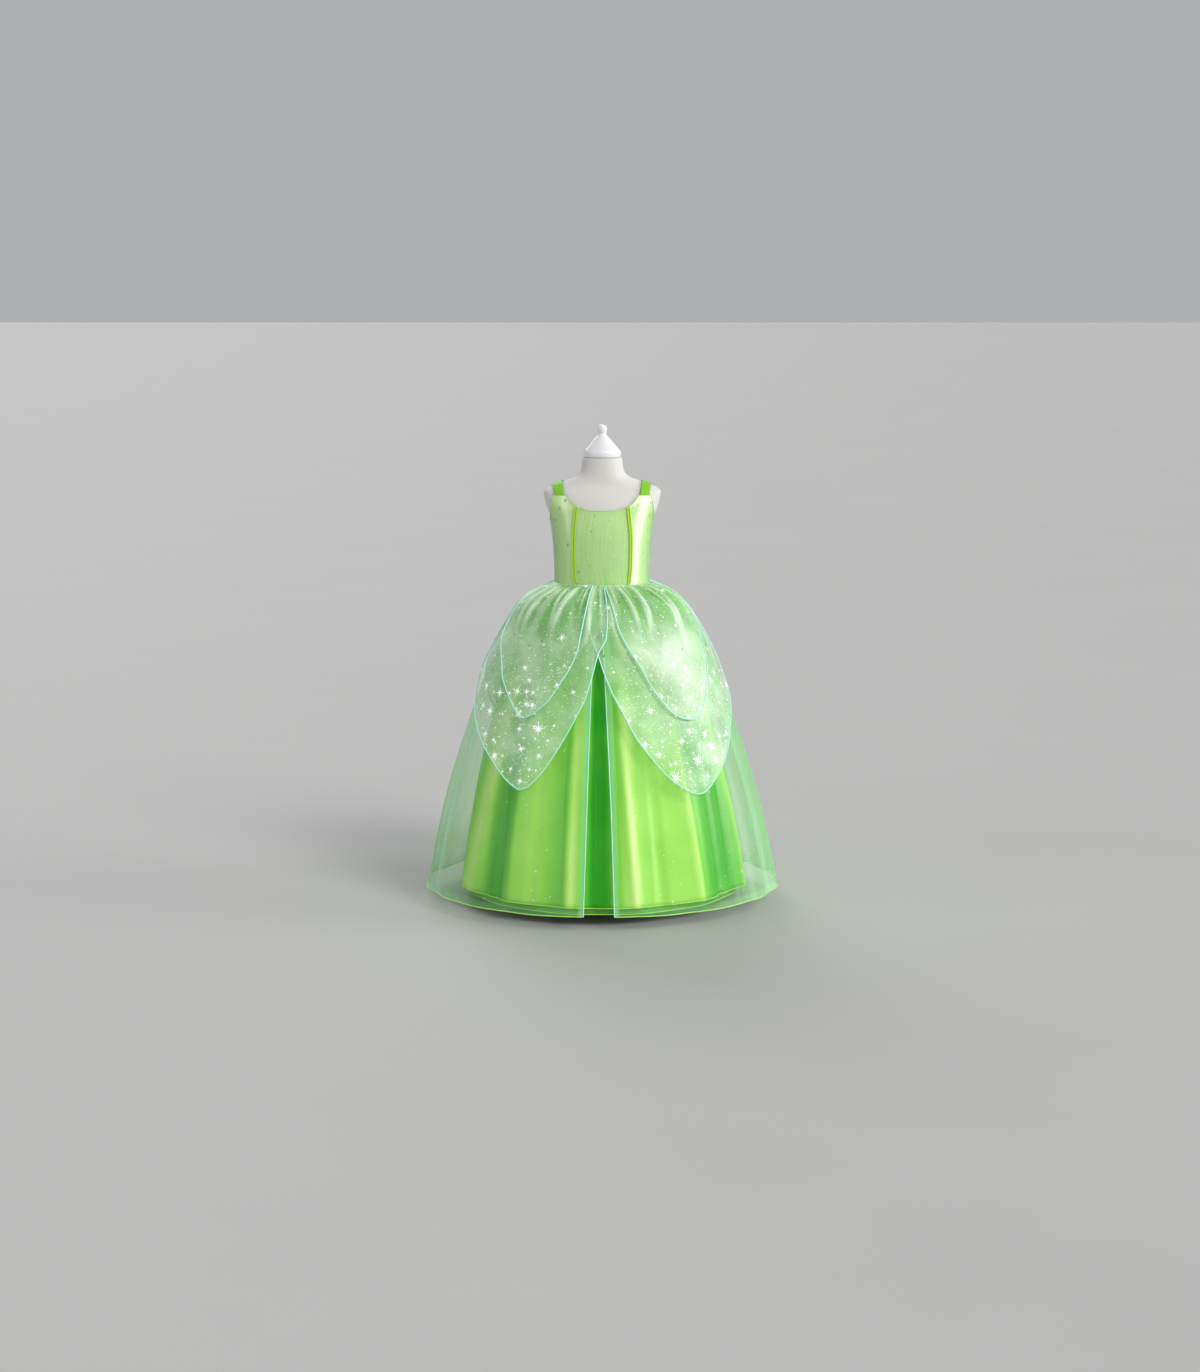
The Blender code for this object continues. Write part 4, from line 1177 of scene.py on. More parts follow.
class FoilTree(NodeTree):
    """Scatters foil stars or dots over a cloth, each flat on its surface."""

    LONG_RAY = 0.5
    SHORT_RAY = 0.36
    RAY_ROOT = 0.055
    SIZE_SEED = 7

    def __init__(self, shape: FoilShape) -> None:
        """Build the tree.

        Args:
            shape: what it scatters.
        """
        super().__init__(
            shape.value,
            {
                "Spacing": ("NodeSocketFloat", 0.01),
                "Density": ("NodeSocketFloat", 800.0),
                "Smallest": ("NodeSocketFloat", 0.001),
                "Largest": ("NodeSocketFloat", 0.006),
                "Rarity": ("NodeSocketFloat", 2.5),
                "Lift": ("NodeSocketFloat", 0.0004),
                "Seed": ("NodeSocketInt", 1),
                "Material": ("NodeSocketMaterial", None),
            },
        )
        inputs = self.source.outputs
        weight = self.node(
            "GeometryNodeInputNamedAttribute", {"data_type": "FLOAT"}, {"Name": "sprinkle"}
        )
        points = self.node(
            "GeometryNodeDistributePointsOnFaces", {"distribute_method": "POISSON"},
            {
                "Mesh": inputs["Geometry"],
                "Distance Min": inputs["Spacing"],
                "Density Max": inputs["Density"],
                "Density Factor": weight.outputs[0],
                "Seed": inputs["Seed"],
            },
        )
        raised = self.node(
            "ShaderNodeVectorMath", {"operation": "SCALE"},
            {0: points.outputs["Normal"], "Scale": inputs["Lift"]},
        )
        placed = self.node(
            "GeometryNodeSetPosition", None,
            {"Geometry": points.outputs["Points"], "Offset": raised.outputs[0]},
        )
        turn = self.node(
            "FunctionNodeRandomValue", {"data_type": "FLOAT"},
            {"Min": 0.0, "Max": math.tau, "Seed": inputs["Seed"]},
        )
        spin = self.node("ShaderNodeCombineXYZ", None, {"Z": turn.outputs["Value"]})
        rotation = self.node(
            "FunctionNodeRotateRotation", {"rotation_space": "LOCAL"},
            {0: points.outputs["Rotation"], 1: spin.outputs[0]},
        )
        draw = self.node(
            "FunctionNodeRandomValue", {"data_type": "FLOAT"},
            {"Min": 0.0, "Max": 1.0, "Seed": self.SIZE_SEED},
        )
        share = self.math("POWER", draw.outputs["Value"], inputs["Rarity"])
        span = self.math("SUBTRACT", inputs["Largest"], inputs["Smallest"])
        size = self.math("ADD", inputs["Smallest"], self.math("MULTIPLY", share, span))
        cut = self.dot_shape() if shape is FoilShape.DOT else self.star_shape()
        scattered = self.node(
            "GeometryNodeInstanceOnPoints", None,
            {
                "Points": placed.outputs[0],
                "Instance": cut,
                "Rotation": rotation.outputs[0],
                "Scale": size,
            },
        )
        self.end(scattered.outputs[0])

    def star_shape(self) -> bpy.types.NodeSocket:
        """Return a flat star of four long and four short rays, one across.

        Returns:
            The star.
        """
        rays = []
        for length, turn in ((self.LONG_RAY, 0.0), (self.SHORT_RAY, math.pi / 4.0)):
            star = self.node(
                "GeometryNodeCurveStar", None,
                {"Points": 4, "Inner Radius": self.RAY_ROOT, "Outer Radius": length},
            )
            face = self.node("GeometryNodeFillCurve", None, {"Curve": star.outputs[0]})
            turned = self.node(
                "GeometryNodeTransform", None,
                {"Geometry": face.outputs[0], "Rotation": (0.0, 0.0, turn)},
            )
            rays.append(turned.outputs[0])
        joined = self.node("GeometryNodeJoinGeometry")
        for socket in rays:
            self.group.links.new(socket, joined.inputs[0])
        return joined.outputs[0]

    def dot_shape(self) -> bpy.types.NodeSocket:
        """Return a flat round dot, one across.

        Returns:
            The dot.
        """
        disc = self.node(
            "GeometryNodeMeshCircle", {"fill_type": "NGON"}, {"Vertices": 6, "Radius": 0.5}
        )
        return disc.outputs[0]


class BeadTree(NodeTree):
    """Repeats a small rounded lobe along a path, as in a braid, a zip's coil or stitches."""

    def __init__(self) -> None:
        """Build the tree."""
        super().__init__(
            "lobes_on_path",
            {
                "Spacing": ("NodeSocketFloat", 0.0026),
                "Size": ("NodeSocketVector", (0.004, 0.002, 0.002)),
                "Tilt": ("NodeSocketFloat", 0.6),
                "Facing": ("NodeSocketVector", (0.0, -1.0, 0.0)),
                "Rounding": ("NodeSocketInt", 2),
                "Material": ("NodeSocketMaterial", None),
            },
        )
        inputs = self.source.outputs
        curve = self.node("GeometryNodeMeshToCurve", None, {"Mesh": inputs["Geometry"]})
        points = self.node(
            "GeometryNodeCurveToPoints", {"mode": "LENGTH"},
            {"Curve": curve.outputs[0], "Length": inputs["Spacing"]},
        )
        aligned = self.node(
            "FunctionNodeAlignRotationToVector", {"axis": "X"},
            {"Vector": points.outputs["Tangent"]},
        )
        faced = self.node(
            "FunctionNodeAlignRotationToVector", {"axis": "Z", "pivot_axis": "X"},
            {"Rotation": aligned.outputs[0], "Vector": inputs["Facing"]},
        )
        spin = self.node("ShaderNodeCombineXYZ", None, {"Z": inputs["Tilt"]})
        tilted = self.node(
            "FunctionNodeRotateRotation", {"rotation_space": "LOCAL"},
            {0: faced.outputs[0], 1: spin.outputs[0]},
        )
        lobe = self.node(
            "GeometryNodeMeshIcoSphere", None,
            {"Radius": 0.5, "Subdivisions": inputs["Rounding"]},
        )
        scattered = self.node(
            "GeometryNodeInstanceOnPoints", None,
            {
                "Points": points.outputs["Points"],
                "Instance": lobe.outputs[0],
                "Rotation": tilted.outputs[0],
                "Scale": inputs["Size"],
            },
        )
        self.end(scattered.outputs[0])

    def lay(self, name: str, paths: list[Points], values: dict[str, Any]) -> bpy.types.Object:
        """Return smooth lobes along one or more open paths, as a plain object.

        Args:
            name: the piece's name.
            paths: the points of each path.
            values: the tree's inputs, by name.

        Returns:
            The lobes.
        """
        lobes = self.run(path_object(name + "_path", paths), name, values)
        lobes.data.shade_smooth()
        return lobes


# Pieces of the form


@dataclass
class DressForm:
    """The limbless form: padded torso, neck cap, pole and base."""

    bottom: float = 0.500
    neck_top: float = 0.917
    pole_radius: float = 0.0125
    base_radius: float = 0.150
    base_thickness: float = 0.012
    pole_length: float = 0.4879
    pole_round: float = 0.001
    cap_gap: float = 0.0003
    columns: int = 128
    cover: ClothFinish = FORM_COVER
    lacquer: HardFinish = WHITE_LACQUER

    def build(self) -> None:
        """Build the form's pieces."""
        self.build_torso()
        cap = [
            (0.0005, 0.0670), (0.0030, 0.0666), (0.0050, 0.0658), (0.0072, 0.0644),
            (0.0088, 0.0620), (0.0097, 0.0596), (0.0100, 0.0570), (0.0096, 0.0543),
            (0.0088, 0.0520), (0.0080, 0.0498), (0.0078, 0.0480), (0.0086, 0.0455),
            (0.0112, 0.0430), (0.0160, 0.0385), (0.0215, 0.0320), (0.0290, 0.0230),
            (0.0355, 0.0160), (0.0375, 0.0135), (0.0385, 0.0105), (0.0388, 0.0070),
            (0.0386, 0.0040), (0.0380, 0.0020), (0.0368, 0.0004), (0.0350, 0.0),
        ]
        self.turn_piece("form_neck_cap", cap, self.neck_top + self.cap_gap, "neck_cap")
        radius, length, shoulder = self.pole_radius, self.pole_length, self.pole_length - self.pole_round
        pole = [(0.0005, length), (radius - self.pole_round, length)]
        pole += [(radius, shoulder * share) for share in (1.0, 0.8, 0.6, 0.4, 0.2, 0.0)]
        self.turn_piece("form_pole", pole, self.base_thickness, "stand_pole")
        rim = self.base_radius
        base = [
            (0.0005, 0.0150), (0.0140, 0.0150), (0.0160, 0.0145), (0.0180, 0.0128),
            (0.0210, 0.0120), (0.0600, 0.0120), (0.1000, 0.0120), (rim - 0.004, 0.0120),
            (rim - 0.002, 0.0115), (rim - 0.0006, 0.0102), (rim, 0.0085), (rim, 0.0040),
            (rim - 0.0008, 0.0012), (rim - 0.0030, 0.0), (0.0005, 0.0),
        ]
        self.turn_piece("form_base", base, 0.0, "stand_base")

    def build_torso(self) -> None:
        """Build the covered torso, closed at its bottom, with the seams of its cover."""
        heights = np.concatenate([
            np.linspace(self.bottom, 0.516, 8)[:-1], np.linspace(0.516, 0.800, 60)[:-1],
            np.linspace(0.800, 0.905, 64)[:-1], np.linspace(0.905, self.neck_top, 6),
        ])[::-1]
        angles = np.linspace(-180.0, 180.0, self.columns, endpoint=False)
        angle, height = np.meshgrid(angles, heights)
        points = BodyShape.ring(angle, height)
        lid = np.stack([points[0] * [share, share, 1.0] for share in (0.02, 0.5, 0.94, 0.985)])
        floor = np.stack([points[-1] * [share, share, 1.0] for share in (0.97, 0.5, 0.02)])
        points = np.concatenate([lid, points, floor])
        torso = grid_object("form_body", points, self.cover, closed=True)
        dress_piece(torso, "form_cover", "form_torso")
        seams = []
        for turn in (-90.0, 90.0, 180.0):
            up = np.linspace(0.790 if turn == 180.0 else 0.793, 0.912, 80)
            seams.append(BodyShape.ring(np.full_like(up, turn), up))
        tree = RolledEdgeTree()
        seam = tree.lay("form_cover_seams", seams, 0.00035, COVER_THREAD, 0.0018)
        dress_piece(seam, "form_cover")

    def turn_piece(
        self, name: str, profile: list[tuple[float, float]], bottom: float, node: str
    ) -> None:
        """Turn a profile of radii and rises round the axis.

        Args:
            name: the piece's name.
            profile: its rows from the top down.
            bottom: the height that the rises start at.
            node: the CAD node that it stands for.
        """
        radius, rise = (np.array(column)[:, None] for column in zip(*profile))
        turns = np.radians(np.linspace(-180.0, 180.0, 96, endpoint=False))[None, :]
        points = np.stack(np.broadcast_arrays(
            radius * np.sin(turns), -radius * np.cos(turns), bottom + rise), -1)
        piece = grid_object(name, points, self.lacquer, closed=True)
        dress_piece(piece, "white_lacquer", node)


# Pieces of the bodice


@dataclass
class Bodice:
    """The bodice: five panels, the binding of their top edge, stitches and faint stars."""

    waist: float = 0.660
    wall: float = 0.0009
    rows: int = 70
    half_gap: float = 0.06
    satin: ClothFinish = BODICE_SATIN
    thread: ThreadFinish = BODICE_THREAD
    top_edge: Table = field(default_factory=lambda: Table(
        (0.0, 0.8125), (10.0, 0.8130), (20.0, 0.8170), (29.0, 0.8270), (36.0, 0.8410),
        (51.0, 0.8410), (58.0, 0.8240), (70.0, 0.8040), (90.0, 0.7900), (115.0, 0.7880),
        (180.0, 0.7880),
    ))
    seam: Table = field(default_factory=lambda: Table(
        (0.660, 0.0540), (0.700, 0.0575), (0.750, 0.0585), (0.800, 0.0550), (0.840, 0.0500),
    ))

    ZIP_DISTANCE = 0.0034
    TUCK_SPAN = 0.13
    WAIST_TUCK = 0.00035
    SIDE_TUCK = 0.00030
    FRONT_TUCK = 0.00016
    SEAM_ROLL = 0.0005
    SEAM_ROLL_ANGLE = 0.9
    PLAIN_PAINTED_LIGHT = 0.52
    SIDE_PAINTED_SHADE = 0.58
    RIGHT_PAINTED_HIGHLIGHT = 0.50
    OTHER_PAINTED_HIGHLIGHTS = 0.30
    CHEST_PAINTED_LIGHT = 0.10
    SPRINKLE = 0.6
    BINDING_RADIUS = 0.0009
    BINDING_STITCH = 0.0011
    BINDING_SINK = 0.0002

    def seam_angle(self, height: Points) -> Points:
        """Return the angle of the princess seam at a height."""
        return BodyShape.angle_at(self.seam.read(height), height)

    def zip_angle(self, height: Points) -> Points:
        """Return the angle of a back panel's edge at the zip."""
        return 180.0 - BodyShape.angle_at(np.full_like(height, self.ZIP_DISTANCE), height)

    def tuck(self, angle: Points, height: Points) -> Points:
        """Return the small rises and hollows of the satin where it is worn.

        Args:
            angle: degrees from the centre front.
            height: height above the floor.

        Returns:
            The rise in metres, below 0 in a hollow.
        """
        share = (height - self.waist) / self.TUCK_SPAN
        wave = np.sin(np.radians(angle * 5.0) + share * 5.0) * np.exp(-((share - 0.08) / 0.12) ** 2)
        pull = np.sin(share * 19.0 + np.radians(angle * 1.5)) * ridge(
            turned_away(np.abs(angle), 72.0), 17.0
        )
        across = np.sin(share * 27.0 + np.radians(angle * 2.0)) * ridge(
            turned_away(angle, 0.0), 30.0
        )
        return self.WAIST_TUCK * wave + self.SIDE_TUCK * pull + self.FRONT_TUCK * across

    def tone(self, angle: Points, height: Points) -> Points:
        """Return the satin's painted light: painted shade where it turns to the sides, a painted
        highlight on the viewer's right panel, fainter ones on the left panel and behind, and lighter
        towards the chest.

        Args:
            angle: degrees from the centre front.
            height: height above the floor.

        Returns:
            The values, from 0 to 1.
        """
        # Painted shade at the sides and painted highlights, strongest on the viewer's right panel, fed
        # into the satin's colour.
        around = np.abs(angle)
        turned = rise_between(around, 54.0, 76.0) * (1.0 - rise_between(around, 100.0, 132.0))
        right = ridge(np.abs(angle - 42.0 - 30.0 * (height - 0.74)), 19.0)
        other_highlights = ridge(np.abs(angle + 38.0), 16.0) + 0.6 * ridge(np.abs(around - 150.0), 16.0)
        tone = self.PLAIN_PAINTED_LIGHT - self.SIDE_PAINTED_SHADE * turned + self.RIGHT_PAINTED_HIGHLIGHT * right
        tone = tone + self.OTHER_PAINTED_HIGHLIGHTS * other_highlights
        return tone + self.CHEST_PAINTED_LIGHT * rise_between(height, 0.70, 0.82)

    def panel(self, name: str, start: Callable, end: Callable, columns: int, node: str) -> None:
        """Build one panel between two edge angles that follow the height.

        Args:
            name: the panel's name.
            start: gives the angle of its first edge at a height.
            end: gives the angle of its last edge.
            columns: how many points it has across.
            node: the CAD node that it stands for.
        """
        level = np.linspace(1.0, 0.0, self.rows)[:, None]
        share = np.linspace(0.0, 1.0, columns)[None, :]
        level, share = np.broadcast_arrays(level, share)
        low = np.full_like(level, self.waist)
        angle = start(low) + (end(low) - start(low)) * share
        for _ in range(4):
            height = self.waist + (self.top_edge.read(np.abs(angle)) - self.waist) * level
            angle = start(height) + (end(height) - start(height)) * share
        edge = np.minimum(share, 1.0 - share) * np.abs(end(height) - start(height))
        roll = -self.SEAM_ROLL * np.exp(-((edge / self.SEAM_ROLL_ANGLE) ** 2))
        points = BodyShape.bodice(angle, height, self.tuck(angle, height) + roll)
        weights = {
            "sprinkle": np.full_like(share, self.SPRINKLE), "tone": self.tone(angle, height),
        }
        piece = grid_object(name, points, self.satin, self.wall, weights=weights)
        declare_cut(points)
        dress_piece(piece, "bodice_satin", node)
        self.sprinkle_stars(piece, name)

    def sprinkle_stars(self, piece: bpy.types.Object, name: str) -> None:
        """Scatter the few faint stars of the bodice.

        Args:
            piece: the piece to scatter them on.
            name: their name.
        """
        values = {
            "Spacing": 0.016, "Density": 1100.0, "Smallest": 0.0050, "Largest": 0.0115,
            "Rarity": 1.2, "Lift": 0.0007, "Seed": len(name), "Material": FADED_FOIL.material(),
        }
        stars = FoilTree(FoilShape.STAR).run(bare_copy(piece), "stars_on_" + name, values)
        dress_piece(stars, "bodice_satin")

    def build(self) -> None:
        """Build the panels and what is sewn to them."""
        gap, seam, zip_edge = self.half_gap, self.seam_angle, self.zip_angle
        self.panel("bodice_front", lambda h: gap - seam(h), lambda h: seam(h) - gap,
                   90, "bodice_centre_front")
        self.panel("bodice_side_right", lambda h: seam(h) + gap, fixed(90.0 - gap),
                   70, "bodice_side_front_right")
        self.panel("bodice_side_left", fixed(-90.0 + gap), lambda h: -seam(h) - gap,
                   70, "bodice_side_front_left")
        self.panel("bodice_rear_right", fixed(90.0 + gap), zip_edge, 80, "bodice_back_right")
        self.panel("bodice_rear_left", lambda h: -zip_edge(h), fixed(-90.0 - gap),
                   80, "bodice_back_left")
        self.build_binding()
        self.build_stitches()

    def build_binding(self) -> None:
        """Bind the top edge, in two halves and a short run at the centre front."""
        tree = RolledEdgeTree()
        angles = np.concatenate([np.linspace(3.4, 33.0, 150), np.linspace(33.5, 56.0, 100),
                                 np.linspace(56.5, 178.0, 300)])
        runs = {
            "right": angles, "left": -angles, "front": np.linspace(-3.5, 3.5, 40),
        }
        for word, turns in runs.items():
            height = self.top_edge.read(np.abs(turns)) - self.BINDING_SINK
            path = BodyShape.bodice(turns, height, -self.BINDING_SINK)
            piece = tree.lay("bodice_top_binding_" + word, [path], self.BINDING_RADIUS,
                             self.thread, self.BINDING_STITCH)
            dress_piece(piece, "bodice_satin")

    def build_stitches(self) -> None:
        """Stitch beside the side seams and the zip, and below the top edge."""
        rows = []
        up = np.linspace(0.664, 0.780, 46)
        for turn in (-90.0, 90.0):
            for shift in (-1.4, 1.4):
                rows.append(BodyShape.bodice(np.full_like(up, turn + shift), up))
        for side in Side:
            edge = side.value * (self.zip_angle(up) - 2.4)
            rows.append(BodyShape.bodice(edge, up))
        for side in Side:
            spread = np.linspace(4.0, 176.0, 260)
            rows.append(BodyShape.bodice(side.value * spread, self.top_edge.read(spread) - 0.005))
        values = {
            "Spacing": 0.0028, "Size": (0.0019, 0.0005, 0.0005), "Tilt": 0.0, "Rounding": 1,
            "Material": self.thread.material(),
        }
        dress_piece(BeadTree().lay("bodice_stitches", rows, values), "bodice_satin")


@dataclass
class Braids:
    """The two lime braids that cover the princess seams."""

    bottom: float = 0.6650
    top: float = 0.8180
    half_width: float = 0.0046
    spacing: float = 0.0047
    lobe: tuple[float, float, float] = (0.0066, 0.0036, 0.0042)
    tilt: float = 0.72
    finish: ThreadFinish = BRAID_THREAD
    core: ThreadFinish = BRAID_SHADE_CORE

    def build(self, bodice: Bodice) -> None:
        """Plait each braid from two rows of slanting lobes on a flat dark core, which paints shade
        between the lobes.

        Args:
            bodice: the bodice under them.
        """
        for side in Side:
            height = np.linspace(self.bottom, self.top, 120)
            angle = side.value * bodice.seam_angle(height)
            along = unit(BodyShape.bodice(angle + 1.0, height) - BodyShape.bodice(angle - 1.0, height))
            outward = unit(np.cross(along, np.array([0.0, 0.0, 1.0])))
            core = BodyShape.bodice(angle, height) + outward * 0.0010
            facing = outward[len(outward) // 2]
            tree = BeadTree()
            lobes = []
            for shift in (-1.0, 1.0):
                path = core + along * (shift * self.half_width * 0.50) + outward * 0.0007
                if shift > 0.0:
                    path = path[1:] + (path[1:] - path[:-1]) * 1.1
                values = {
                    "Spacing": self.spacing, "Size": self.lobe, "Tilt": -shift * self.tilt,
                    "Facing": tuple(float(part) for part in facing),
                    "Material": self.finish.material(),
                }
                lobes.append(tree.lay("braid_lobes", [path], values))
            # The dark core shows between the lobes as painted shade.
            across = np.linspace(-1.0, 1.0, 9)[None, :, None]
            band = core[::-1, None] + along[::-1, None] * across * (self.half_width - 0.0008)
            flat = grid_object("braid_core", band - outward[::-1, None] * 0.0005, self.core)
            piece = join_objects("braid_" + side.word + "_plait", [flat, *lobes])
            dress_piece(piece, "braid_thread", "braid_" + side.word)


def join_objects(name: str, pieces: list[bpy.types.Object]) -> bpy.types.Object:
    """Join untransformed mesh objects into one, with the first one's data layers.

    Args:
        name: the joined object's name.
        pieces: the objects.

    Returns:
        The joined object.
    """
    bpy.context.view_layer.update()
    with bpy.context.temp_override(
        active_object=pieces[0], object=pieces[0], selected_objects=pieces,
        selected_editable_objects=pieces,
    ):
        bpy.ops.object.join()
    joined = pieces[0]
    joined.name = name
    joined.data.name = name
    return joined


@dataclass
class Straps:
    """The two satin ribbon straps, laid over the form's shoulders."""

    half_width: float = 0.0094
    front_distance: float = 0.0865
    crest_distance: float = 0.0925
    back_distance: float = 0.0760
    lift: float = 0.0008
    centre_height: float = 0.800
    front_height: float = 0.8400
    back_height: float = 0.7872
    wall: float = 0.0009
    ribbon: ClothFinish = RIBBON
    thread: ThreadFinish = LIME_THREAD

    FARTHEST = 0.120
    HALVINGS = 26
    WALL_LIFT = 0.0015
    BOW = 0.0004

    def reach(self, centre: Points, direction: Points) -> Points:
        """Return how far the form reaches from a centre, by halving the interval.

        Args:
            centre: a point inside the form.
            direction: the ways to go from it.

        Returns:
            The distances.
        """
        square = BodyShape.SQUARENESS
        near = np.zeros(direction.shape[:-1])
        far = np.full(direction.shape[:-1], self.FARTHEST)
        for _ in range(self.HALVINGS):
            middle = (near + far) / 2.0
            spot = centre + direction * middle[..., None]
            height = spot[..., 2]
            depth = np.where(
                spot[..., 1] < 0.0, BodyShape.FRONT.read(height), BodyShape.BACK.read(height)
            )
            across = (np.abs(spot[..., 0]) / BodyShape.HALF_WIDTH.read(height)) ** square
            inside = across + (np.abs(spot[..., 1]) / depth) ** square < 1.0
            near = np.where(inside, middle, near)
            far = np.where(inside, far, middle)
        return near

    def tilt_at(self, distance: Points, height: float, facing: float) -> Points:
        """Return the tilt from upright at which a strap leaves a bodice edge.

        Args:
            distance: distance from the middle of the form.
            height: height of the edge.
            facing: -1 in front, 1 behind.

        Returns:
            The tilts in radians.
        """
        table = BodyShape.FRONT if facing < 0.0 else BodyShape.BACK
        half_width = BodyShape.HALF_WIDTH.read(height)
        room = np.maximum(0.0, 1.0 - (np.abs(distance) / half_width) ** BodyShape.SQUARENESS)
        reach = table.read(height) * room ** (1.0 / BodyShape.SQUARENESS)
        return facing * np.arctan2(reach, height - self.centre_height)

    def points(self, side: Side, across: Points, share: Points) -> Points:
        """Return points on the outer face of a strap.

        Args:
            side: which strap it is.
            across: from -1 to 1 over its width.
            share: from 0 at the front edge to 1 at the back edge.

        Returns:
            The points.
        """
        shift = side.value * across * self.half_width
        start = self.tilt_at(self.front_distance + shift, self.front_height, -1.0)
        end = self.tilt_at(self.back_distance + shift, self.back_height, 1.0)
        tilt = start + (end - start) * share
        run = np.where(tilt < 0.0, tilt / start, tilt / end)
        goal = np.where(tilt < 0.0, self.front_distance, self.back_distance)
        distance = self.crest_distance + (goal - self.crest_distance) * run
        zero = np.zeros_like(tilt)
        centre = np.stack(
            [side.value * distance + across * self.half_width, zero, zero + self.centre_height], -1
        )
        direction = np.stack([zero, np.sin(tilt), np.cos(tilt)], -1)
        ease = BodyShape.BODICE_EASE + np.where(tilt < 0.0, BodyShape.TOP_EDGE_EASE, 0.0)
        near_edge = (np.abs(share - 0.5) * 2.0) ** 3
        full = self.lift + self.WALL_LIFT
        lift = full + (ease - full) * near_edge
        bow = self.BOW * (1.0 - across**2)
        return centre + direction * (self.reach(centre, direction) + lift + bow)[..., None]

    def build(self) -> None:
        """Build both straps with their edge stitches."""
        share = np.linspace(0.0, 1.0, 150)[:, None]
        across = np.linspace(-1.0, 1.0, 21)[None, :]
        across, share = np.broadcast_arrays(across, share)
        rows = []
        for side in Side:
            points = self.points(side, across, share)
            piece = grid_object("strap_" + side.word + "_ribbon", points, self.ribbon, self.wall)
            declare_cut(points)
            dress_piece(piece, "ribbon_satin", "strap_" + side.word)
            line = np.linspace(0.01, 0.99, 140)
            for edge in (-0.84, 0.84):
                rows.append(self.points(side, np.full_like(line, edge), line))
        values = {
            "Spacing": 0.0026, "Size": (0.0018, 0.0005, 0.0005), "Tilt": 0.0, "Rounding": 1,
            "Facing": (0.0, 0.0, 1.0), "Material": self.thread.material(),
        }
        dress_piece(BeadTree().lay("strap_stitches", rows, values), "ribbon_satin")


@dataclass
class BackZip:
    """The coil zip at the centre back, whose slider and pull are the hard pieces."""

    waist: float = 0.662
    top: float = 0.7866
    half_width: float = 0.0030
    plastic: HardFinish = ZIP_PLASTIC
    metal: HardFinish = ZIP_METAL

    def build(self) -> None:
        """Build the tape with its coil and dress the slider and the pull."""
        height = np.linspace(self.top, self.waist, 120)[:, None]
        share = np.linspace(1.0, -1.0, 13)[None, :]
        share, height = np.broadcast_arrays(share, height)
        turn = BodyShape.angle_at(np.full_like(height, self.half_width), height)
        points = BodyShape.bodice(180.0 - turn * share, height, -0.0006)
        tape = grid_object("zip_tape", points, self.plastic)
        rows = []
        for shift in (-1.0, 1.0):
            up = np.linspace(self.waist, self.top - 0.001, 100)
            turn = BodyShape.angle_at(np.full_like(up, 0.0009), up)
            rows.append(BodyShape.bodice(180.0 + shift * turn, up, -0.0002))
        values = {
            "Spacing": 0.0014, "Size": (0.0009, 0.0022, 0.0009), "Tilt": 0.0,
            "Facing": (0.0, 1.0, 0.0), "Material": self.plastic.material(),
        }
        coil = BeadTree().lay("zip_coil_lobes", rows, values)
        piece = join_objects("zip_coil", [tape, coil])
        dress_piece(piece, "zip_plastic", "zip_chain")
        self.dress_metal()

    def dress_metal(self) -> None:
        """Give the slider and the pull, shown as the solids, their metal."""
        for name in ("zip_slider", "zip_pull"):
            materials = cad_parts[name].data.materials
            materials.clear()
            materials.append(self.metal.material())
            LOG.info("%s: shown as the solid", name)


# Pieces of the skirt


Band = tuple[float, float, float, float]
# Soft bands on the organza overskirt, painted highlights in the first table and painted shade in the
# second: each band's angle at the hem, lean towards the waist, half width and strength.
ORGANZA_HIGHLIGHT_BANDS: tuple[Band, ...] = (
    (-71.0, 4.0, 4.5, 0.50), (-60.0, 3.0, 2.4, 0.25), (58.0, -2.0, 2.6, 0.22),
    (70.0, -4.0, 4.0, 0.40), (104.0, -3.0, 3.0, 0.30), (127.0, 4.0, 5.0, 0.35),
    (158.0, -3.0, 3.6, 0.30), (-172.0, 3.0, 3.0, 0.24), (-143.0, -5.0, 4.6, 0.36),
    (-112.0, 4.0, 3.4, 0.28),
)
ORGANZA_SHADE_BANDS: tuple[Band, ...] = (
    (-84.0, 5.0, 7.0, 0.34), (-98.0, 3.0, 6.0, 0.30), (81.0, -3.0, 3.6, 0.14),
    (115.0, -2.0, 4.0, 0.22), (143.0, 3.0, 5.0, 0.20), (-157.0, -3.0, 4.4, 0.22),
    (-127.0, 2.0, 5.0, 0.24),
)


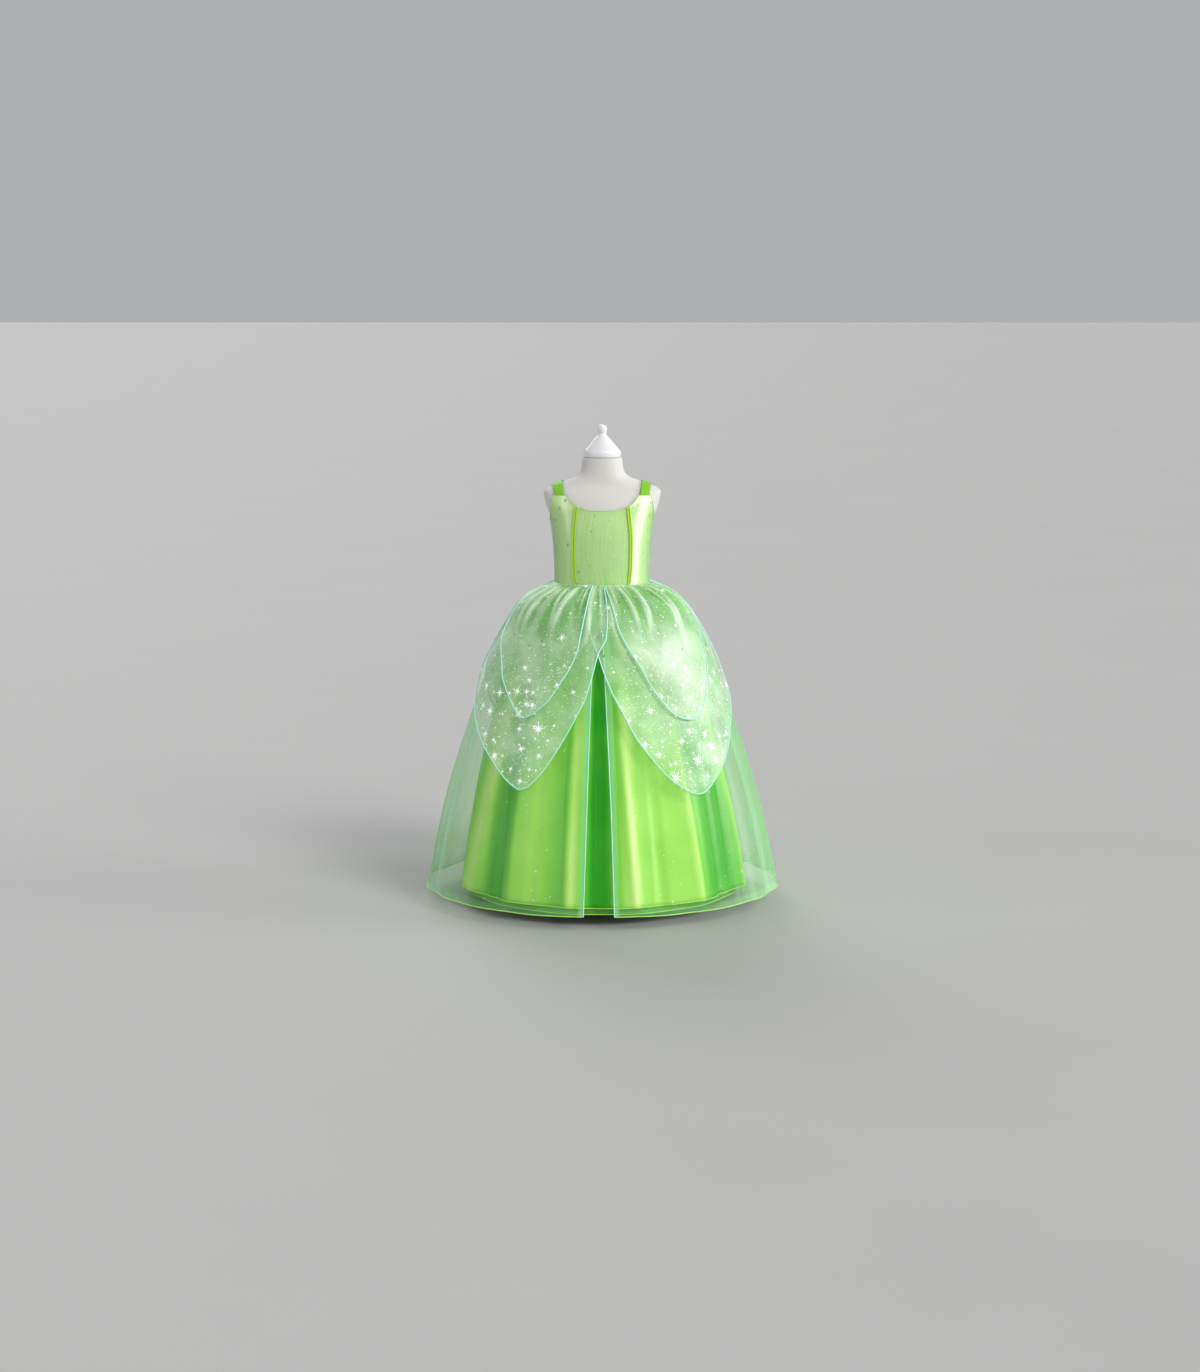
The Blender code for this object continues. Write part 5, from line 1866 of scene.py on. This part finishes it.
@dataclass
class ClothPanel:
    """A panel of one skirt layer, between two edges that may follow the drop."""

    name: str
    layer: SkirtLayer
    finish: ClothFinish
    start: Callable[[Points], Points]
    end: Callable[[Points], Points]
    columns: int
    node: str
    slot: str
    wall: float = 0.0
    rows: int = 90

    CREASE_STEEP = 0.0080
    GATHER_STEEP = 0.0020
    LINE_COVER = 0.3
    SIDE_COVER = 0.5
    HEM_COVER = 0.35
    EDGE_COVER = 0.75
    EDGE_WIDTHS = (0.008, 0.011)
    OPENING_REACH = 45.0
    PLAIN_PAINTED_LIGHT = 0.45

    def cover(self, angle: Points, drop: Points, share: Points) -> Points:
        """Return how much the cloth's own folds thicken it, with the painted highlights of its light
        bands, from 0 to 1.

        Args:
            angle: degrees from the centre front.
            drop: distance below the waist.
            share: from 0 at the waist to 1 at the hem.

        Returns:
            The values, from 0 to 1.
        """
        layer, turn = self.layer, 0.4
        slope = np.abs(layer.crease_rise(angle + turn, drop) - layer.crease_rise(angle - turn, drop))
        gathers = np.abs(layer.gather_rise(angle + turn, drop) - layer.gather_rise(angle - turn, drop))
        side = rise_between(np.abs(np.sin(np.radians(angle))), 0.72, 1.0)
        hem = rise_between(share, 0.982, 0.986)
        away = np.minimum(np.abs(angle - angle[:, :1]), np.abs(angle - angle[:, -1:]))
        width = np.radians(away) * (0.1 + 0.25 * share)
        edge = 1.0 - rise_between(width, *self.EDGE_WIDTHS)
        edge = np.where(np.abs(angle) < self.OPENING_REACH, edge, 0.0)
        lines = np.minimum(slope / self.CREASE_STEEP + gathers / self.GATHER_STEEP, self.LINE_COVER)
        # The light bands are painted highlights.
        total = lines + self.bands(ORGANZA_HIGHLIGHT_BANDS, angle, share)
        total = total + self.SIDE_COVER * side + self.HEM_COVER * hem + self.EDGE_COVER * edge
        return np.clip(total, 0.0, 1.0)

    def bands(self, rows: tuple[Band, ...], angle: Points, share: Points) -> Points:
        """Return how far each spot lies in the soft bands of a table, from 0 to 1; the bands paint the
        light and the shade of folds.

        Args:
            rows: each band's angle at the hem, lean towards the waist, half width and strength.
            angle: the spots' angles.
            share: how far down the cloth they lie.

        Returns:
            The strengths.
        """
        turn = (angle + 180.0) % 360.0 - 180.0
        total = np.zeros_like(turn)
        for centre, lean, half_width, strength in rows:
            away = np.abs(turn - centre - lean * (1.0 - share))
            total = total + strength * ridge(away, half_width) * rise_between(share, 0.05, 0.45)
        return total

    def grid(self) -> tuple[Points, Points]:
        """Return the panel's angles and drops, row by row.

        Returns:
            The angles and the drops.
        """
        level = np.linspace(0.0, 1.0, self.rows)[:, None]
        drop = self.layer.length * (0.75 * level + 0.25 * level**2)
        share = np.linspace(0.0, 1.0, self.columns)[None, :]
        drop, share = np.broadcast_arrays(drop, share)
        return self.start(drop) + (self.end(drop) - self.start(drop)) * share, drop

    def tone(self, angle: Points, drop: Points, share: Points) -> Points:
        """Return the satin's painted light: its bands of painted highlight and painted shade fan out
        from the waist to the hem.

        Args:
            angle: degrees from the centre front.
            drop: distance below the waist.
            share: from 0 at the waist to 1 at the hem.

        Returns:
            The values, from 0 to 1.
        """
        turn = (angle + 180.0) % 360.0 - 180.0
        lean = 1.0 + 0.16 * (1.0 - share)
        behind = np.sign(turn) * (180.0 - (180.0 - np.abs(turn)) * lean)
        turn = np.where(np.abs(turn) > 90.0, behind, turn * lean)
        # The painted shade at the front opening starts nearer the waist.
        near_opening = ridge(np.abs(turn + 1.5), 9.0)
        strength = rise_between(drop + 0.12 * near_opening, 0.05, 0.30)
        return self.PLAIN_PAINTED_LIGHT + (SATIN_PAINTED_LIGHT.read(turn) - self.PLAIN_PAINTED_LIGHT) * strength

    def build(self) -> bpy.types.Object:
        """Build the panel and work out the sizes of its cut.

        Returns:
            The panel.
        """
        angle, drop = self.grid()
        points = self.layer.point(angle, drop)
        share = np.clip(drop / self.layer.length, 0.0, 1.0)
        weights = {
            "sprinkle": 0.10 + 0.5 * rise_between(share, 0.2, 0.95),
            # Painted shade in the dark bands, and the satin's painted light and shade.
            "pocket": self.bands(ORGANZA_SHADE_BANDS, angle, share),
            "tone": self.tone(angle, drop, share),
            "cover": self.cover(angle, drop, share),
        }
        piece = grid_object(self.name, points, self.finish, self.wall, weights=weights)
        declare_cut(points)
        return dress_piece(piece, self.slot, self.node)


@dataclass
class Skirts:
    """The underskirt, the satin skirt and the open organza overskirt, with their hems."""

    gap: float = 0.03
    opening_left: Table = field(default_factory=lambda: Table(
        (0.000, -2.4), (0.168, -5.2), (0.440, -5.6), (0.630, -6.0)))
    opening_right: Table = field(default_factory=lambda: Table(
        (0.000, -1.6), (0.168, 1.2), (0.440, 3.2), (0.630, 3.8)))

    LARGEST_STAR = 0.0060
    FOIL_DENSITY = 300.0
    HEM_RADIUS = 0.0011
    HEM_STITCH = 0.0016

    def build(self) -> None:
        """Build every layer from the inside out."""
        gap = self.gap
        front, back = (-90.0 + gap, 90.0 - gap), (90.0 + gap, 270.0 - gap)
        back_right, back_left = (90.0 + gap, 180.0 - gap), (180.0 + gap, 270.0 - gap)
        lining = (UNDERSKIRT, LINING, "lining_cloth", 0.0005, 60)
        satin = (SATIN, SKIRT_SATIN, "skirt_satin", 0.0006, 90)
        cuts = (
            ("underskirt_lining_front", lining, front, 110, "underskirt_front"),
            ("underskirt_lining_back", lining, back, 110, "underskirt_back"),
            ("satin_front", satin, front, 260, "satin_skirt_front"),
            ("satin_rear_right", satin, back_right, 130, "satin_skirt_back_right"),
            ("satin_rear_left", satin, back_left, 130, "satin_skirt_back_left"),
        )
        for name, (layer, cloth, slot, *sizes), (start, end), columns, node in cuts:
            edges = fixed(start), fixed(end)
            ClothPanel(name, layer, cloth, *edges, columns, node, slot, *sizes).build()
        outer = (
            ("organza_front_left", fixed(front[0]), self.opening_left.read, 160, "overskirt_front_left"),
            ("organza_front_right", self.opening_right.read, fixed(front[1]), 160,
             "overskirt_front_right"),
            ("organza_rear", fixed(back[0]), fixed(back[1]), 320, "overskirt_back"),
        )
        for seed, (name, start, end, columns, node) in enumerate(outer, 11):
            panel = ClothPanel(name, OVERSKIRT, ORGANZA, start, end, columns, node, "organza")
            sprinkle_foil(panel.build(), "foil_on_" + name, self.LARGEST_STAR, seed, self.FOIL_DENSITY)
        self.build_hems()
        self.build_waist_seam()

    def build_hems(self) -> None:
        """Lay the overlocked hems and the aqua edges of the opening."""
        tree = RolledEdgeTree()
        turns = np.linspace(-180.0, 180.0, 1500)
        for name, layer in (("underskirt", UNDERSKIRT), ("satin", SATIN)):
            hem = layer.point(turns, layer.length, -0.0003)
            piece = tree.lay(name + "_hem", [hem], self.HEM_RADIUS, LIME_THREAD, self.HEM_STITCH)
            dress_piece(piece, "skirt_satin")
        length = OVERSKIRT.length
        start = float(self.opening_right.read(length))
        end = 360.0 + float(self.opening_left.read(length))
        hem = OVERSKIRT.point(np.linspace(start, end, 1500), length)
        piece = tree.lay("organza_hem", [hem], self.HEM_RADIUS, LIME_THREAD, self.HEM_STITCH)
        dress_piece(piece, "organza")
        drop = np.linspace(0.004, length, 400)
        edges = [OVERSKIRT.point(table.read(drop), drop)
                 for table in (self.opening_left, self.opening_right)]
        piece = tree.lay("opening_edges", edges, 0.0009, AQUA_THREAD, 0.0015)
        dress_piece(piece, "organza")

    def build_waist_seam(self) -> None:
        """Lay the narrow binding that covers the gathered waist seam."""
        turns = np.linspace(-180.0, 180.0, 700)
        seam = BodyShape.bodice(turns, np.full_like(turns, 0.6605), 0.0006)
        piece = RolledEdgeTree().lay("waist_seam", [seam], 0.0011, BODICE_THREAD, 0.0018)
        dress_piece(piece, "bodice_satin")


def sprinkle_foil(
    piece: bpy.types.Object, name: str, largest: float, seed: int, density: float
) -> None:
    """Scatter foil stars, fine dots and a few dark glints over a cloth.

    Args:
        piece: the cloth, whose sprinkle attribute weighs the density.
        name: the foil piece's name.
        largest: the size of the biggest star.
        seed: the seed of the scatter.
        density: the most stars on a square metre.
    """
    middling = 0.36 * largest
    star, dot = (FoilShape.STAR, 1.4), (FoilShape.DOT, 2.0)
    kinds = (
        (star, FOIL, 0.0260, density * 0.4, middling, largest),
        (star, FOIL, 0.0110, density, 0.0020, middling),
        (dot, FOIL, 0.0036, density * 6.0, 0.0006, 0.0018),
        (dot, DARK_FOIL, 0.0110, density * 0.5, 0.0010, 0.0036),
    )
    layers = []
    for step, ((shape, rarity), finish, spacing, most, smallest, biggest) in enumerate(kinds):
        carrier = bare_copy(piece)
        if finish is DARK_FOIL:
            for weight in carrier.data.attributes["sprinkle"].data:
                weight.value = max(0.0, 0.7 - weight.value)
        values = {
            "Spacing": spacing, "Density": most, "Smallest": smallest, "Largest": biggest,
            "Lift": 0.0003, "Seed": seed * 7 + step, "Material": finish.material(),
            "Rarity": rarity,
        }
        layers.append(FoilTree(shape).run(carrier, "foil_layer", values))
    dress_piece(join_objects(name, layers), str(piece["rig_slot"]))


@dataclass(frozen=True)
class PetalCrease:
    """A gathered fold that runs down a petal from the waist, and may curve sideways."""

    share: float
    half_share: float
    height: float
    end: float
    lean: float = 0.0


LARGE_CREASES = tuple(PetalCrease(*row) for row in (
    (0.030, 0.018, 0.0022, 0.10, 0.01), (0.085, 0.034, 0.0036, 0.19, 0.04),
    (0.190, 0.018, 0.0020, 0.05), (0.260, 0.046, 0.0040, 0.15, -0.03),
    (0.360, 0.020, 0.0022, 0.07, 0.02), (0.440, 0.054, 0.0040, 0.17, 0.04),
    (0.560, 0.018, 0.0022, 0.05), (0.640, 0.046, 0.0036, 0.13, -0.02),
    (0.750, 0.022, 0.0020, 0.09, -0.02), (0.840, 0.050, 0.0034, 0.16, 0.02),
    (0.950, 0.028, 0.0030, 0.11, 0.01),
))
SMALL_CREASES = tuple(PetalCrease(*row) for row in (
    (0.050, 0.024, 0.0030, 0.08, 0.02), (0.115, 0.018, 0.0022, 0.04),
    (0.230, 0.070, 0.0052, 0.16, 0.09), (0.300, 0.018, 0.0024, 0.05, -0.02),
    (0.400, 0.034, 0.0042, 0.10, -0.05), (0.475, 0.016, 0.0022, 0.05),
    (0.600, 0.062, 0.0046, 0.13, 0.07), (0.735, 0.020, 0.0024, 0.05, 0.02),
    (0.820, 0.050, 0.0040, 0.12, -0.03), (0.940, 0.020, 0.0022, 0.06),
))


@dataclass(frozen=True)
class PetalTier:
    """One of the two tiers of petals, and what its size decides.

    Attributes:
        size: the tier's name.
        waist_lift: how far it stands off the overskirt at the waist seam.
        full_lift: how far it stands off below the gathers.
        pleat_length: how far down its longest pleats run.
        right_painted_glow: how white the painted highlight on its petal on the viewer's right is.
        painted_glow_height: how far that painted highlight reaches, as a share of the petal.
        largest_star: the size of its biggest foil star.
        creases: its gathered folds.
    """

    size: str
    waist_lift: float
    full_lift: float
    pleat_length: float
    right_painted_glow: float
    painted_glow_height: float
    largest_star: float
    creases: tuple[PetalCrease, ...]


LARGE_TIER = PetalTier("large", 0.0020, 0.0080, 0.19, 0.40, 0.30, 0.0330, LARGE_CREASES)
SMALL_TIER = PetalTier("small", 0.0040, 0.0150, 0.15, 0.75, 0.38, 0.0240, SMALL_CREASES)


@dataclass
class Petal:
    """One organza petal, gathered at the waist, with a rolled aqua edge."""

    outline: tuple[tuple[float, float, float], ...]
    side: Side
    tier: PetalTier
    is_back: bool
    seed: int
    finish: ClothFinish = PETAL_ORGANZA
    rows: int = 90
    columns: int = 126

    STEP = 0.0020
    CROSSING_LIFT = 0.0055
    LIFT_DROP = 0.060
    BACK_CENTRE = 1.3
    BACK_SHARE = 0.85
    MIRROR_SHARE = 0.985
    PLEAT_HEIGHT = 0.0030
    PLEAT_STEEP = 0.0024
    # Painted highlight: how white the left and back petals are painted, and how far it spreads.
    LEFT_PAINTED_GLOW = 0.20
    BACK_PAINTED_GLOW = 0.25
    PAINTED_GLOW_SPREAD = 0.30
    FOIL_DENSITY = 3400.0

    def __post_init__(self) -> None:
        """Prepare the names and the outline's two edges."""
        place = "back" if self.is_back else "front"
        self.name = "_".join((self.tier.size, "petal", place, self.side.word))
        self.node = "_".join(("petal", self.tier.size, place, self.side.word))
        self.inner = Table(*((row[0], row[1]) for row in self.outline))
        self.outer = Table(*((row[0], row[2]) for row in self.outline))
        self.tip = self.outline[-1][0]

    def angle(self, share: Points, drop: Points) -> Points:
        """Return the angle at a share of the way from the inner to the outer edge.

        Args:
            share: from 0 at the inner edge to 1 at the outer.
            drop: distance below the waist.

        Returns:
            The angles in degrees.
        """
        inner, outer = self.inner.read(drop), self.outer.read(drop)
        if self.is_back:
            inner = np.maximum(self.BACK_CENTRE, inner * self.BACK_SHARE)
            across = 180.0 - (inner + (outer * self.BACK_SHARE - inner) * share)
        else:
            across = inner + (outer - inner) * share
        return self.side.value * across

    def lift(self, share: Points, drop: Points) -> Points:
        """Return how far the petal's face stands off the overskirt's bell.

        Args:
            share: from 0 at the inner edge to 1 at the outer.
            drop: distance below the waist.

        Returns:
            The distances.
        """
        angle = self.angle(share, drop)
        near = rise_between(drop, 0.0, self.LIFT_DROP)
        lift = self.tier.waist_lift + (self.tier.full_lift - self.tier.waist_lift) * near
        if self.side is Side.LEFT and not self.is_back:
            step = self.STEP + (self.CROSSING_LIFT - self.STEP) * near
            lift = lift + step * (1.0 - rise_between(np.abs(angle), 8.0, 16.0))
        return lift

    def crease_rise(self, share: Points, drop: Points) -> Points:
        """Return the creases and the ripple of the free edge.

        Args:
            share: from 0 at the inner edge to 1 at the outer.
            drop: distance below the waist.

        Returns:
            The rise in metres.
        """
        mirrored = (self.side is Side.RIGHT) != self.is_back
        rise = np.zeros_like(share)
        for crease in self.tier.creases:
            centre = self.MIRROR_SHARE - crease.share if mirrored else crease.share
            grown = rise_between(drop, 0.0, 0.014)
            gone = rise_between(drop, 0.20 * crease.end, crease.end)
            bend = crease.lean * np.sin(np.clip(drop / crease.end, 0.0, 1.0) * 2.6)
            slide = centre + (-bend if mirrored else bend)
            away = np.abs(share - slide)
            rise = rise + crease.height * grown * (1.0 - gone) * ridge(away, crease.half_share)
        edge = np.minimum(np.minimum(share, 1.0 - share) * 6.0, 1.0)
        down = np.clip(drop / self.tip, 0.0, 1.0)
        ripple = np.sin(down * 23.0 + self.seed) * 0.0011 + np.sin(down * 11.0 + self.seed) * 0.0012
        rim = (1.0 - edge) * rise_between(down, 0.2, 0.6)
        return rise + ripple * rim + 0.0016 * rim

    def pleats(self, share: Points, drop: Points) -> Points:
        """Return how far a spot lies up on a gathered pleat, from 0 in a hollow between pleats to 1.

        Args:
            share: from 0 at the inner edge to 1 at the outer.
            drop: distance below the waist.

        Returns:
            The values, from 0 to 1.
        """
        height = self.crease_rise(share, drop)
        near = 1.0 - rise_between(drop, 0.35 * self.tier.pleat_length, self.tier.pleat_length)
        return np.clip(height / self.PLEAT_HEIGHT, 0.0, 1.0) * near

    def facing(self, share: Points, drop: Points) -> Points:
        """Return how steeply a pleat's side turns to the viewer's right, or left below 0; it places the
        painted highlights and the painted shade on the pleats.

        Args:
            share: from 0 at the inner edge to 1 at the outer.
            drop: distance below the waist.

        Returns:
            The steepness.
        """
        step = 0.006
        slope = self.crease_rise(share - step, drop) - self.crease_rise(share + step, drop)
        sign = -self.side.value if self.is_back else self.side.value
        return slope / self.PLEAT_STEEP * sign

    def cover(self, share: Points, drop: Points) -> Points:
        """Return how much the petal's own folds thicken it, with painted highlights on the pleats' sides
        that face the viewer's right and a painted glow across the petal, from 0 to 1.

        Args:
            share: from 0 at the inner edge to 1 at the outer.
            drop: distance below the waist.

        Returns:
            The values, from 0 to 1.
        """
        waist = 1.0 - rise_between(drop, 0.002, 0.012)
        # Painted highlight on the sides of the pleats that face the viewer's right.
        creases = 0.6 * np.clip(self.facing(share, drop), 0.0, 1.0) ** 1.5
        down = drop / self.tip
        # Painted highlight: a white glow across the petal, strongest on the viewer's right.
        bright, spread = self.LEFT_PAINTED_GLOW, self.PAINTED_GLOW_SPREAD
        if self.side is Side.RIGHT:
            bright, spread = self.tier.right_painted_glow, self.tier.painted_glow_height
        if self.is_back:
            bright, spread = self.BACK_PAINTED_GLOW, self.PAINTED_GLOW_SPREAD
        glow = np.exp(-(((share - 0.56) / 0.36) ** 2) - (((down - 0.52) / spread) ** 2))
        total = creases + 0.40 * self.pleats(share, drop) + 0.4 * waist + bright * glow
        bare = 0.40 * (1.0 - rise_between(drop, 0.05, 0.13)) * (1.0 - self.pleats(share, drop))
        return np.clip(total, 0.0, 1.0) - bare

    def pocket(self, share: Points, drop: Points) -> Points:
        """Return the painted shade between two pleats below the waist and on the pleats' sides that face
        the viewer's left.

        Args:
            share: from 0 at the inner edge to 1 at the outer.
            drop: distance below the waist.

        Returns:
            The values, from 0 to 1.
        """
        near = rise_between(drop, 0.004, 0.020) * (1.0 - rise_between(drop, 0.05, 0.12))
        wander = 0.5 + 0.5 * np.sin(share * 41.0 + self.seed) * np.sin(share * 17.0 + 1.3)
        inside = np.minimum(share, 1.0 - share)
        between = 1.0 - np.clip(self.pleats(share, drop) * 2.4, 0.0, 1.0)
        # Painted shade in the hollows between pleats and on their sides that face the viewer's left.
        hollow = 0.90 * near * wander * between * rise_between(inside, 0.02, 0.06)
        return np.clip(hollow + 0.8 * np.clip(-self.facing(share, drop), 0.0, 1.0), 0.0, 1.0)

    def point(self, share: Points, drop: Points) -> Points:
        """Return points on the petal's face.

        Args:
            share: from 0 at the inner edge to 1 at the outer.
            drop: distance below the waist.

        Returns:
            The points, with a last axis of three.
        """
        share, drop = np.broadcast_arrays(np.asarray(share, float), np.asarray(drop, float))
        angle = self.angle(share, drop)
        rise = self.lift(share, drop) + self.crease_rise(share, drop)
        return OVERSKIRT.ring(angle, drop) + OVERSKIRT.normal(angle, drop) * rise[..., None]

    def build(self) -> None:
        """Build the petal, its rolled edge and its foil."""
        level = np.linspace(0.0, 1.0, self.rows)[:, None]
        drop = self.tip * (1.0 - (1.0 - level) ** 1.25)
        forwards = (self.side is Side.RIGHT) != self.is_back
        share = np.linspace(0.0, 1.0, self.columns)[None, ::1 if forwards else -1]
        share, drop = np.broadcast_arrays(share, drop)
        points = self.point(share, drop)
        weights = {
            "sprinkle": 0.10 + 0.90 * rise_between(drop / self.tip, 0.25, 0.85),
            "cover": self.cover(share, drop),
            "pocket": self.pocket(share, drop),
        }
        piece = grid_object(self.name, points, self.finish, weights=weights)
        declare_cut(points)
        dress_piece(piece, "glitter_organza", self.node)
        largest = self.tier.largest_star
        sprinkle_foil(piece, "foil_on_" + self.name, largest, self.seed, self.FOIL_DENSITY)
        self.build_edge()

    def build_edge(self) -> None:
        """Lay the rolled edge down one side, round the tip and up the other."""
        fall = self.tip * np.linspace(0.012, 1.0, 320)
        inner = self.point(np.zeros_like(fall), fall)
        tip = self.point(np.linspace(0.0, 1.0, 12)[1:-1], np.full(10, self.tip))
        outer = self.point(np.ones_like(fall), fall)[::-1]
        path = np.concatenate([inner, tip, outer])
        edge = RolledEdgeTree().lay(self.name + "_edge", [path], 0.0012, AQUA_THREAD, 0.0017)
        dress_piece(edge, "glitter_organza")


LARGE_LEFT = (
    (0.000, -1.0, 97.0), (0.030, -2.3, 97.0), (0.062, -2.8, 96.0), (0.095, -2.2, 95.0),
    (0.128, 2.2, 93.0), (0.168, 4.7, 90.0), (0.210, 7.5, 84.0), (0.245, 11.0, 75.5),
    (0.280, 14.6, 65.5), (0.315, 18.5, 55.5), (0.345, 21.9, 46.5), (0.370, 25.4, 39.5),
    (0.385, 28.2, 34.6), (0.391, 30.6, 32.0),
)
LARGE_RIGHT = (
    (0.000, -8.5, 97.0), (0.040, -8.3, 96.5), (0.079, -7.4, 94.0), (0.102, -5.3, 92.0),
    (0.126, -2.4, 90.0), (0.160, 0.7, 87.0), (0.200, 4.5, 82.5), (0.243, 9.2, 75.5),
    (0.288, 13.9, 66.5), (0.326, 19.2, 58.8), (0.357, 24.0, 52.2), (0.382, 29.3, 46.0),
    (0.397, 34.0, 41.6), (0.402, 36.8, 39.2),
)
SMALL_LEFT = (
    (0.000, 8.5, 72.0), (0.034, 8.9, 73.5), (0.068, 10.6, 72.5), (0.095, 11.8, 70.0),
    (0.120, 12.4, 65.5), (0.150, 15.1, 58.6), (0.185, 19.4, 51.6), (0.215, 23.6, 45.2),
    (0.237, 27.9, 40.2), (0.250, 31.6, 36.8), (0.254, 33.4, 35.2),
)
SMALL_RIGHT = (
    (0.000, 1.9, 70.0), (0.026, 4.6, 72.5), (0.052, 6.8, 73.0), (0.079, 9.0, 71.5),
    (0.117, 13.4, 66.0), (0.157, 18.5, 59.4), (0.190, 22.3, 54.6), (0.219, 26.3, 50.8),
    (0.242, 30.6, 47.0), (0.255, 35.4, 44.0), (0.259, 38.6, 41.4),
)


def build_petals() -> None:
    """Build the two tiers of petals in front and behind."""
    outlines = (
        (LARGE_LEFT, Side.LEFT, LARGE_TIER), (LARGE_RIGHT, Side.RIGHT, LARGE_TIER),
        (SMALL_LEFT, Side.LEFT, SMALL_TIER), (SMALL_RIGHT, Side.RIGHT, SMALL_TIER),
    )
    seed = 20
    for is_back in (False, True):
        for outline, side, tier in outlines:
            seed += 3
            Petal(outline, side, tier, is_back, seed).build()


# Studio


@dataclass
class Studio:
    """The floor, the lights and the camera."""

    pitch: float = 8.86
    lens: float = 70.35
    eye: tuple[float, float, float] = (-0.0046, -5.5, 1.30)
    floor_half: float = 60.0
    floor_drop: float = 0.0005
    sky: Colour = (0.97, 0.98, 1.0)
    sky_strength: float = 0.44
    paint: HardFinish = HardFinish("floor_paint", (0.46, 0.46, 0.455), 0.75, grain=1.5)

    def build(self) -> None:
        """Build the floor, light it and set the scene's camera."""
        self.build_floor()
        self.build_lights()
        self.build_camera()

    def build_floor(self) -> None:
        """Lay the plain pale floor."""
        size = self.floor_half
        mesh = bpy.data.meshes.new("studio_floor")
        corners = [(-size, -size, 0.0), (size, -size, 0.0), (size, size, 0.0), (-size, size, 0.0)]
        mesh.from_pydata(corners, [], [(0, 1, 2, 3)])
        mesh.materials.append(self.paint.material())
        floor = bpy.data.objects.new("studio_floor", mesh)
        floor.location.z = -self.floor_drop
        bpy.context.scene.collection.objects.link(floor)

    def build_lights(self) -> None:
        """Set the soft sky and the four wide suns."""
        world = bpy.data.worlds.new("studio_world")
        world.use_nodes = True
        backing = world.node_tree.nodes["Background"]
        backing.inputs["Color"].default_value = (*self.sky, 1.0)
        backing.inputs["Strength"].default_value = self.sky_strength
        bpy.context.scene.world = world
        self.sun("key", (1.7, -2.0, 1.9), 24.0, 1.7, (1.0, 0.99, 0.96))
        self.sun("side", (2.6, -0.2, 0.35), 30.0, 2.0, (1.0, 1.0, 0.98))
        self.sun("fill", (-2.4, -1.3, 0.5), 36.0, 0.4, (0.94, 0.97, 1.0))
        self.sun("rim", (-0.8, 2.6, 1.8), 35.0, 0.9, (1.0, 1.0, 1.0))
        bpy.context.scene.view_settings.view_transform = "Standard"

    def build_camera(self) -> None:
        """Set the camera where the photograph was taken from."""
        data = bpy.data.cameras.new("photo_camera")
        data.lens = self.lens
        data.sensor_width = 36.0
        data.sensor_fit = "AUTO"
        data.clip_end = 200.0
        camera = bpy.data.objects.new("photo_camera", data)
        camera.location = self.eye
        camera.rotation_euler = (math.radians(90.0 - self.pitch), 0.0, 0.0)
        bpy.context.scene.collection.objects.link(camera)
        bpy.context.scene.camera = camera

    def sun(
        self, name: str, side: tuple[float, float, float], spread: float, power: float, colour: Colour
    ) -> None:
        """Add a wide soft light that shines from one side.

        Args:
            name: the light's name.
            side: the direction that it shines from.
            spread: how wide it looks, in degrees.
            power: its strength.
            colour: its colour.
        """
        data = bpy.data.lights.new(name, "SUN")
        data.angle = math.radians(spread)
        data.energy = power
        data.color = colour
        lamp = bpy.data.objects.new(name, data)
        flat = math.hypot(side[0], side[1])
        lamp.rotation_euler = (math.atan2(flat, side[2]), 0.0, math.atan2(side[0], -side[1]))
        lamp.location = side
        bpy.context.scene.collection.objects.link(lamp)


def main() -> None:
    """Build the whole object and its studio."""
    logging.basicConfig(level=logging.INFO, format="%(message)s")
    DressForm().build()
    bodice = Bodice()
    bodice.build()
    Braids().build(bodice)
    Straps().build()
    BackZip().build()
    Skirts().build()
    build_petals()
    Studio().build()


if __name__ == "__main__":
    main()
